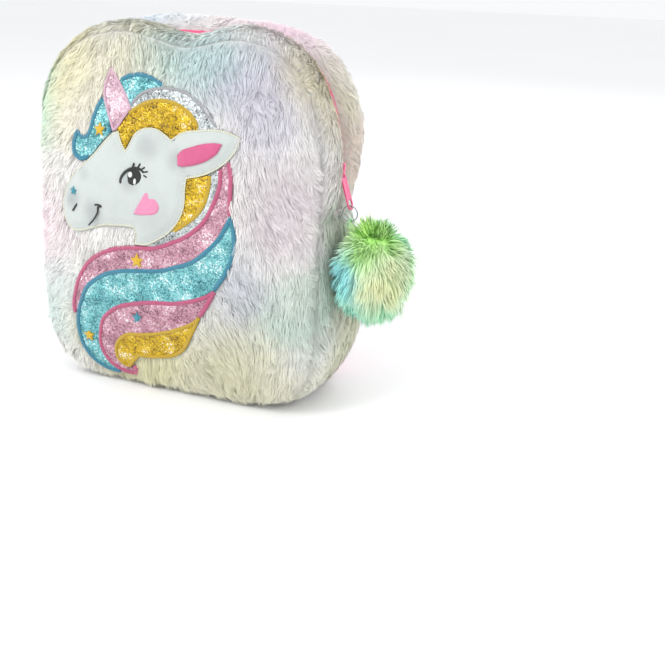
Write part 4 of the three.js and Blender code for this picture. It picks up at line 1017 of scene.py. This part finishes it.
def band(start, end, near, far, rows, cols, sink=None):
    """The outer and inner grids of a strip of the gusset, before it settles."""
    share, q = np.linspace(start, end, rows)[:, None], np.linspace(-1, 1, cols)[None]
    step = (share - start) * 80
    tuck = 1 - 0.55 * np.exp(-1.1 * np.minimum(step, (end - start) * 80 - step))
    swell = GUSSET_CROWN * (1 - np.abs(q) ** 2.2) ** 0.6 * tuck - (0 if sink is None else sink(q))
    seam, normal = seam_at(share), seam_normal(share)
    y = near + (far - near) * (q + 1) / 2

    def grid(lift):
        x, z = seam[..., 0] + normal[..., 0] * lift, seam[..., 1] + normal[..., 1] * lift
        return vec(x, y, np.maximum(z, 0))

    lumps = LUMP * waves(vec(seam[..., 0], y, seam[..., 1]), 60, 9) * (1 - q ** 8) * smooth(seam[..., 1], 8, 30)
    return grid(swell + lumps - TUFT), grid(swell - WALL)


SPLIT = share_at_height(ZIP_END * HEIGHT)

# Long hairs, short hairs, the length and the rise of the long ones
FRONT_FUR, BACK_FUR = (34000, 88000, 12, 4.2), (22000, 42000, 12, 4.2)
GUSSET_FUR, STRIP_FUR = (22000, 44000, 11, 3.8), (12000, 27000, 9, 2.8)
DOWN_WIDTH, ZIP_VALLEY = 0.36, 2.4


def furry_panels():
    skin_cloth = backing("knitted_backing", "bcbdb9")
    plush = dyed_fur("dyed_plush", DYE)
    gap = GAP / 2 / SEAM_LENGTH
    edge = HALF_DEPTH - GAP

    def trim_front(roots, reach):
        rng = np.random.default_rng(3)
        allowed, share = rng.uniform(-0.6, 1.5, len(roots)), np.full(len(roots), 0.16)
        for s in (0.25, 0.35, 0.5, 0.7, 0.85, 1.0):
            clear = (picture_depth(roots + reach * s) < allowed) & (picture_depth(roots + reach * s * 0.5) < allowed)
            share = np.where(clear, s, share)
        return share

    downwards = lambda p, n: vec(p[:, 0] * 0.004, 0, -1)
    on_top = lambda side: (lambda p, n: vec(0, side * (0.5 + 0.6 * smooth(p[:, 2], 200, 262)), -1))
    # How near each root lies to a seam or to the zip: fur() shortens the hairs there and darkens them with painted
    # shade.
    panel_seam = lambda p: smooth(seam_share(p[:, 0], p[:, 2]), 0.955, 0.995)
    gusset_seam = lambda p: smooth(np.abs(p[:, 1]), edge - 5, edge - 0.5)
    strip_seam = lambda p: np.maximum(gusset_seam(p), 1 - smooth(np.abs(p[:, 1]), ZIP_HALF + 0.5, ZIP_HALF + 7))
    zip_run = (SPLIT + gap, 1 - SPLIT - gap)
    pieces = (
        ("front_panel", panel(-1, FRONT_CROWN), FRONT_FUR, downwards,
         lambda p: (picture_depth(p) < -0.9).astype(float), trim_front, 11, panel_seam),
        ("back_panel", panel(1, BACK_CROWN), BACK_FUR, downwards, None, None, 23, panel_seam),
        ("lower_gusset", band(-SPLIT + gap, SPLIT - gap, -edge, edge, 120, 22), GUSSET_FUR,
         lambda p, n: vec(0, p[:, 1] * 0.004, -1), lambda p: 0.12 + 0.88 * smooth(p[:, 2], 1, 6), None, 37,
         gusset_seam),
        ("zip_strip_front", band(*zip_run, -edge, -ZIP_HALF, 120, 12, lambda q: ZIP_VALLEY * np.maximum(0, q) ** 2),
         STRIP_FUR, on_top(-1), None, None, 41, strip_seam),
        ("zip_strip_rear", band(*zip_run, ZIP_HALF, edge, 120, 12, lambda q: ZIP_VALLEY * np.maximum(0, -q) ** 2),
         STRIP_FUR, on_top(1), None, None, 53, strip_seam),
    )
    for name, (outer, inner), (long, short, length, rise), comb, weight, trim, seed, seam in pieces:
        points, faces = shell(settle(outer), settle(inner))
        body = mesh_piece(f"{name}_cloth", points, faces, skin_cloth)
        face_outwards(body)
        show(body, stands_for=name, slot="plush")
        skin = (outer.reshape(-1, 3), grid_faces(*outer.shape[:2], flip=flip_for(outer)))
        grown = {"weight": weight, "trim": trim, "settled": True, "seam": seam}
        show(fur(f"{name}_fur", skin, long, plush, comb, seed, length, rise, **grown), slot="plush")
        show(fur(f"{name}_down", skin, short, plush, comb, seed + 5, length * 0.75, rise * 0.95, DOWN_WIDTH,
                 levels=(0, 1), **grown), slot="plush")


def flip_for(grid):
    """Whether a grid's quads have to be turned to face away from the bag's middle."""
    points, quads = grid.reshape(-1, 3), grid_faces(*grid.shape[:2])
    corner = points[quads]
    flat = np.cross(corner[:, 2] - corner[:, 0], corner[:, 3] - corner[:, 1])
    return bool((flat * (corner.mean(1) - [0, 0, MID_Z])).sum() < 0)


# Zip
def along_zip(share, y, rise):
    seam, normal = seam_at(share), seam_normal(share)
    return settle(vec(seam[..., 0] + normal[..., 0] * rise, y, seam[..., 1] + normal[..., 1] * rise))


def zip_frames(rise, count, offset=0.0):
    trim = 1.2 / SEAM_LENGTH
    share = np.linspace(SPLIT + trim, 1 - SPLIT - trim, count) + offset / SEAM_LENGTH
    at = along_zip(share, np.zeros(count), rise)
    along = unit(along_zip(share + 0.0015, np.zeros(count), rise) - along_zip(share - 0.0015, np.zeros(count), rise))
    return at, along, unit(np.cross(vec(0, 1, 0) + along * 0, along))


def zip_tooth():
    """One tooth about the origin: x outwards, y across the zip, z along it."""
    bpy.ops.object.select_all(action="DESELECT")
    bpy.ops.mesh.primitive_cube_add(size=1, location=(0, 0, 0))
    tooth = bpy.context.object
    bpy.ops.object.mode_set(mode="EDIT")
    bpy.ops.transform.resize(value=(1.25, 2.7, 0.95))
    bpy.ops.mesh.bevel(offset=0.28, segments=2, affect="EDGES")
    bpy.ops.object.mode_set(mode="OBJECT")
    points = np.array([v.co[:] for v in tooth.data.vertices])
    points[:, 2] *= 1 - 0.35 * np.clip(-points[:, 1] / 1.3, 0, 1)
    tooth.data.calc_loop_triangles()
    faces = np.array([t.vertices[:] for t in tooth.data.loop_triangles])
    bpy.data.objects.remove(tooth)
    return points, faces


def zip_fastener():
    tape = woven("zip_tape", "d9366f", "f77aa6", 0.0014, 0.0007, 0.7)
    top = -TAPE_SINK
    for side, word in ((-1, "front"), (1, "rear")):
        at, along, out = zip_frames(top - TAPE_THICK / 2, 240)
        across = np.tile([0.0, 1.0, 0.0], (len(at), 1))
        near, far = side * (CHAIN_HALF - 0.6), side * (ZIP_HALF + 1.0)
        half = TAPE_THICK / 2
        section = [(near, -half), (far, -half), (far, half), (near, half)]
        points, faces = sweep(at, across, out, section)
        run = np.linspace(0, 1, 240) * 0.5
        uv = np.concatenate([np.stack([np.repeat(run, 4), np.tile(np.array([near, far, far, near]) * MM, 240)], -1),
                             np.zeros((2, 2))])
        piece = mesh_piece(f"zip_tape_{word}_cloth", points, faces, tape, uv=uv, soft=False)
        face_outwards(piece)
        show(piece, stands_for=f"zip_tape_{word}", slot="zip_pink")
    tooth, faces = zip_tooth()
    parts = []
    length = SEAM_LENGTH * (1 - 2 * SPLIT) - 2.4
    count = int(length / TOOTH_PITCH)
    for side in (-1, 1):
        at, along, out = zip_frames(top + 0.15, count, side * TOOTH_PITCH / 4)
        for p, a, o in zip(at, along, out):
            frame_axes = np.stack([o, np.array([0, 1.0, 0]), a])
            local = tooth * [1, side, 1] + [0, side * 0.95, 0]
            parts.append((p + local @ frame_axes, [faces if side > 0 else faces[:, ::-1]]))
    points, groups = joined(parts)
    chain = mesh_piece("zip_teeth", points, groups, moulded("zip_nylon", "ee4f88", "f98db3", 0.32,
                                                           specular_ior_level=0.5))
    show(chain, stands_for="zip_chain", slot="zip_pink")


def refined(name, node, material, edge, slot, body, segments=2):
    """A hard piece from its solid, with its edges rounded."""
    piece = bpy.data.objects.new(name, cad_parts[node].data.copy())
    bpy.context.scene.collection.objects.link(piece)
    made = bmesh.new()
    made.from_mesh(piece.data)
    bmesh.ops.remove_doubles(made, verts=made.verts, dist=1e-5)
    bmesh.ops.dissolve_limit(made, angle_limit=math.radians(3), verts=made.verts, edges=made.edges)
    made.to_mesh(piece.data)
    made.free()
    bpy.ops.object.select_all(action="DESELECT")
    piece.select_set(True)
    bpy.context.view_layer.objects.active = piece
    bevel = piece.modifiers.new("rounded edges", "BEVEL")
    bevel.width, bevel.segments, bevel.limit_method, bevel.angle_limit = edge * MM, segments, "ANGLE", 0.6
    bpy.ops.object.modifier_apply(modifier=bevel.name)
    bpy.ops.object.shade_smooth_by_angle(angle=math.radians(40))
    piece.data.materials.clear()
    piece.data.materials.append(material)
    return show(piece, body, node, slot)


def ring_of_wire():
    """Two turns of wire, one beside the other."""
    low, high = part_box("split_ring")
    middle, radius, wire = (low + high) / 2, (high.z - low.z) / 2, 0.00042
    bpy.ops.object.select_all(action="DESELECT")
    turns = []
    for k, lean in ((-1, 0.035), (1, -0.02)):
        bpy.ops.mesh.primitive_torus_add(major_radius=radius - wire, minor_radius=wire, major_segments=56,
                                         minor_segments=12, location=middle + Vector((0, k * wire * 0.95, 0)),
                                         rotation=(math.pi / 2 + lean, 0, 0))
        turns.append(bpy.context.object)
    for turn in turns:
        turn.select_set(True)
    bpy.ops.object.join()
    ring = bpy.context.object
    bpy.ops.object.transform_apply(location=True, rotation=True, scale=True)
    bpy.ops.object.shade_smooth()
    ring.name = "split_ring_wire"
    ring.data.materials.append(moulded("steel_wire", "c4c6c9", "8f9195", 0.22, metallic=1.0))
    show(ring, "pull", "split_ring", "steel")


def pull():
    enamel = moulded("pink_enamel", "f04b86", "f67fa9", 0.26, coat_weight=0.5, coat_roughness=0.12,
                     specular_ior_level=0.6)
    refined("zip_slider_body", "zip_slider", enamel, 0.28, "pull_pink", "bag", 3)
    refined("pull_tab_plate", "pull_tab", enamel, 0.22, "pull_pink", "pull", 3)
    ring_of_wire()


POMPOM_LOCKS, POMPOM_CORE = 150, 0.66


def pompom():
    """A ball of long soft fur, dyed lime, mint, cream and turquoise, round a plush core."""
    rng = np.random.default_rng(77)
    dye = [((122, -36, 112), 34, "92e2ea"), ((150, -24, 156), 40, "bcf468"), ((168, -46, 116), 30, "f4f2c0"),
           ((184, 0, 116), 34, "b6f8a4"), ((178, -4, 146), 28, "8ae8b8"), ((156, -28, 74), 36, "a8f0c0"),
           ((130, -38, 84), 30, "8cecd4"), ((150, 10, 100), 36, "8fe8d0"), ((138, -50, 134), 24, "c6f68c")]
    # d8f4e0 is the colour of the painted shade at the roots.
    coat = dyed_fur("dyed_long_fur", dye, "eefde0", "d8f4e0", 0.9)
    wall = HALF_WIDTH + GUSSET_CROWN + 1.2
    bpy.ops.object.select_all(action="DESELECT")
    bpy.ops.mesh.primitive_uv_sphere_add(segments=48, ring_count=32, radius=POMPOM_CORE, location=(0, 0, 0))
    core = bpy.context.object
    core.name = "pompom_core"
    for v in core.data.vertices:
        p = POMPOM_MIDDLE + np.array(v.co) * POMPOM_REACH
        v.co = Vector(np.array([max(p[0], wall), p[1], p[2]]) * MM)
    # Tip 0.55 gives the core part of the fur's painted root shade.
    for label, value in (("tip", 0.55), ("tone", 0.3)):
        shade = core.data.attributes.new(label, "FLOAT", "POINT")
        shade.data.foreach_set("value", [value] * len(core.data.vertices))
    bpy.ops.object.shade_smooth()
    core.data.materials.append(coat)
    show(core, "pull", "pompom", "pompom_fur")
    tuft_dirs = unit(rng.normal(size=(POMPOM_LOCKS, 3)))
    for name, count, short, width, levels, seed in (("pompom_fur", 9000, 1.0, 0.8, (0, 0.35, 0.7, 1), 5),
                                                    ("pompom_underfur", 12000, 0.86, 0.75, (0, 0.55, 1), 6)):
        rng = np.random.default_rng(seed)
        way = unit(rng.normal(size=(count, 3)))
        tuft = np.argmax(way @ tuft_dirs.T, axis=1)
        reach = (0.84 + 0.2 * np.random.default_rng(9).random(POMPOM_LOCKS))[tuft][:, None]
        reach = reach * rng.uniform(0.84, 1, (count, 1))
        roots = POMPOM_MIDDLE + way * POMPOM_REACH * 0.6
        lean = unit(way + (tuft_dirs[tuft] - way) * 0.5 + vec(0, 0, -0.34) + rng.normal(0, 0.06, way.shape))
        tips = POMPOM_MIDDLE + lean * POMPOM_REACH * reach * short + vec(0, 0, -1.0)
        tips[:, 0] = np.where(tips[:, 0] < wall + 3, wall + 3 + (tips[:, 0] - wall - 3) * 0.12, tips[:, 0])
        flow = tips - roots
        length = np.linalg.norm(flow, axis=1, keepdims=True)
        bow = unit(np.cross(flow, rng.normal(size=(count, 3)))) * 0.35 + unit(way - lean * 0.6)
        press = lambda p, t: np.stack([np.maximum(p[:, 0], wall), p[:, 1], p[:, 2]], -1)
        tone = np.random.default_rng(8).random(POMPOM_LOCKS)[tuft] * 0.5 + rng.random(count) * 0.3
        hair = blades(name, roots, flow / length, unit(bow), length, rng.uniform(1.0, 3.4, (count, 1)),
                      np.zeros((count, 3)), width, levels, tone, coat, rng, press, unit(way * 0.8 + lean * 0.4))
        show(hair, "pull", (), "pompom_fur")
    low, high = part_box("split_ring")
    middle = (low + high) / 2 + Vector((0, 0, -0.0071))
    bpy.ops.object.select_all(action="DESELECT")
    bpy.ops.mesh.primitive_torus_add(major_radius=0.0032, minor_radius=0.0008, major_segments=32, minor_segments=10,
                                     location=middle, rotation=(0, math.pi / 2, 0))
    loop = bpy.context.object
    loop.name = "pompom_loop"
    bpy.ops.object.transform_apply(location=True, rotation=True, scale=True)
    bpy.ops.object.shade_smooth()
    loop.data.materials.append(moulded("loop_cord", "a9e7b4", "d2f5d6", 0.6))
    show(loop, "pull")


# Straps
STRAP_LINE = [(0.30, 0, 0.895), (0.34, 0.49, 0.80), (0.41, 0.87, 0.68), (0.49, 0.96, 0.55), (0.56, 0.83, 0.43),
              (0.60, 0.66, 0.345)]
STRAP_ROWS, STRAP_ROUND, FUR_ROOM = 90, 40, 1.6


def strap_frames(side, count):
    x, _, z = STRAP_LINE[0]
    seat = on_back(side * x * HALF_WIDTH, z * HEIGHT, STRAP_THICK / 2 + STRAP_SEAT)[1]
    line = [(side * x * HALF_WIDTH, seat + off * HALF_DEPTH, z * HEIGHT) for x, off, z in STRAP_LINE]
    return frames(line, count, lambda t: (-side, 0, 0))


def strap_skin(side):
    """The strap's padded body, a little slimmer than it is with its fur."""
    t, at, _, across, out = strap_frames(side, STRAP_ROWS)
    turn = np.linspace(0, 2 * math.pi, STRAP_ROUND, endpoint=False)
    c, s = np.cos(turn), np.sin(turn)
    end = (1 - 0.3 * smooth(t, 0.86, 1) ** 2)[:, None]
    wide = np.sign(c) * np.abs(c) ** 0.7 * (STRAP_WIDTH / 2 - FUR_ROOM) * end
    thick = np.sign(s) * np.abs(s) ** 0.7 * (STRAP_THICK / 2 - FUR_ROOM) + np.zeros_like(end)
    lumps = waves(at, 26, 31 + side)[:, None] * 0.8
    section = np.stack([wide + lumps * c * 0.8, thick + lumps * s], -1)
    return sweep(at, across, out, section)


def straps():
    cloth, plush = bpy.data.materials["knitted_backing"], bpy.data.materials["dyed_plush"]
    for side, word in ((-1, "left"), (1, "right")):
        points, faces = strap_skin(side)
        body = mesh_piece(f"strap_{word}_pad", points, faces, cloth)
        face_outwards(body)
        show(body, stands_for=f"strap_{word}", slot="plush")
        quads = faces[0]
        corner = points[quads]
        flat = np.cross(corner[:, 2] - corner[:, 0], corner[:, 3] - corner[:, 1])
        middle = points[:-2].reshape(-1, STRAP_ROUND, 3).mean(1).repeat(STRAP_ROUND, 0)[:len(quads)]
        inward = (flat * (corner.mean(1) - middle)).sum() < 0
        _, at, way, *_ = strap_frames(side, 60)

        def downwards(p, n, at=at, way=way):
            return way[np.abs(p[:, None, 2] - at[None, :, 2]).argmin(1)]

        skin = (points, quads[:, ::-1] if inward else quads)
        show(fur(f"strap_{word}_fur", skin, 10000, plush, downwards, 61 + side, 9.5, 3.4), slot="plush")
        show(fur(f"strap_{word}_down", skin, 22000, plush, downwards, 71 + side, 7.5, 3.2, DOWN_WIDTH, levels=(0, 1)),
             slot="plush")


def glide_frame(side):
    _, at, along, _, _ = strap_frames(side, 16)
    down = along[-1]
    bars = unit(np.array([1, 0, 0]) - down * down[0])
    off = np.cross(bars, down)
    return at[-1] + down * (GLIDE_TALL / 2 + GLIDE_DROP), down, bars, off * (1 if off[1] > 0 else -1)


def ribbon(name, points, width, thick, count, across, material, **extra):
    """Flat webbing with slightly thicker woven edges."""
    _, at, _, side, out = frames(points, count, across)
    half, edge = width / 2, thick / 2
    section = np.array([(-half, -edge * 0.7), (-half + 0.9, -edge), (0, -edge * 0.85), (half - 0.9, -edge),
                        (half, -edge * 0.7), (half, edge * 0.7), (half - 0.9, edge), (0, edge * 0.85),
                        (-half + 0.9, edge), (-half, edge * 0.7)])
    made, faces = sweep(at, side, out, section)
    run = np.concatenate([[0], np.cumsum(np.linalg.norm(np.diff(at, axis=0), axis=1))])
    uv = np.stack([np.repeat(run, 10), np.tile(section[:, 0], len(at))], -1)
    uv = np.concatenate([uv, np.zeros((2, 2))]) * MM
    piece = mesh_piece(name, made, faces, material, uv=uv)
    face_outwards(piece)
    bpy.ops.object.select_all(action="DESELECT")
    piece.select_set(True)
    bpy.context.view_layer.objects.active = piece
    bpy.ops.object.shade_smooth_by_angle(angle=math.radians(50))
    return piece


WEB_FOOT = (0.76, 0.055)


def webbing():
    strap_web = woven("webbing_pink", "d92f74", "ff74a6", 0.0013, 0.00075, 0.5)
    clear = Shader("clear_pink_buckle", roughness=0.12, transmission_weight=0.55, specular_ior_level=0.6)
    cloud = clear.noise(0.006, 2).outputs[0]
    clear.set("Base Color", clear.mix(cloud, rgb("f9a9c2"), rgb("fcc9d8")))
    clear.bump(Number(clear, cloud), 0.08, 0.0004)
    for side, word in ((-1, "left"), (1, "right")):
        place, down, bars, off = glide_frame(side)
        at = lambda d, h: place + down * d + off * h
        n = GLIDE_THICK / 2 + WEB_THICK / 2 + GAP + 0.3
        foot = on_back(side * WEB_FOOT[0] * HALF_WIDTH, WEB_FOOT[1] * HEIGHT, WEB_SEAT)
        mix = lambda a, b, t, out: a + (b - a) * t + [0, out, 0]
        slot = -GLIDE_MIDDLE / 2 - 2.4
        line = [foot, mix(foot, at(14, -n), 0.5, 1), at(14, -n - 0.6), at(4, -n), at(slot + 1.2, -n),
                at(slot, -n * 0.4), at(slot, n * 0.4), at(slot + 1.2, n), at(4, n), at(14, n + 1.2),
                mix(at(14, n), foot, 0.4, 16), mix(at(14, n), foot, 0.75, 15), foot + [0, WEB_THICK + 2.6, 1]]
        foot_across = np.array([math.cos(side * 0.45), 0, math.sin(side * 0.45)])

        def across(t, bars=bars, foot_across=foot_across):
            away = min(1, abs(t - 0.5) * 2.4) ** 2
            return bars + (foot_across - bars) * away

        show(ribbon(f"webbing_{word}_strap", line, WEB_WIDTH, WEB_THICK, 150, across, strap_web),
             stands_for=f"webbing_{word}", slot="webbing_pink")
        clear_off = GLIDE_THICK / 2 + WEB_THICK / 2 + 2 * GAP
        top = -GLIDE_TALL / 2
        turn = top + GLIDE_BAR + 2 * GAP + WEB_THICK / 2
        half = [(top - 3.6, 1), (top, 1), (turn - 1.2, 1), (turn - 0.1, 0.7)]
        loop = [*half, (turn, 0), *[(d, -h) for d, h in half[::-1]]]
        show(ribbon(f"strap_tab_{word}_loop", [at(d, h * clear_off) for d, h in loop], WEB_WIDTH, WEB_THICK, 48,
                    lambda t, bars=bars: bars, strap_web),
             stands_for=f"strap_tab_{word}", slot="webbing_pink")
        refined(f"tri_glide_{word}_buckle", f"tri_glide_{word}", clear.material, 0.6, "clear_pink", "bag", 3)
    z = HANDLE_HEIGHT * HEIGHT
    seat = on_back(HANDLE_SPAN / 2, z, HANDLE_SEAT)[1]
    line = [(x * HANDLE_SPAN / 2 + LEAN, seat + off * HANDLE_REACH, z) for x, off in
            ((-1, 0), (-0.94, 0.27), (-0.62, 0.76), (0, 1), (0.62, 0.76), (0.94, 0.27), (1, 0))]
    show(ribbon("carry_handle_webbing", line, HANDLE_WIDTH, WEB_THICK, 90, lambda t: (0, -0.3, 1), strap_web),
         stands_for="carry_handle", slot="webbing_pink")


place_camera()
light_scene()
floor()
furry_panels()
picture()
zip_fastener()
pull()
pompom()
straps()
webbing()
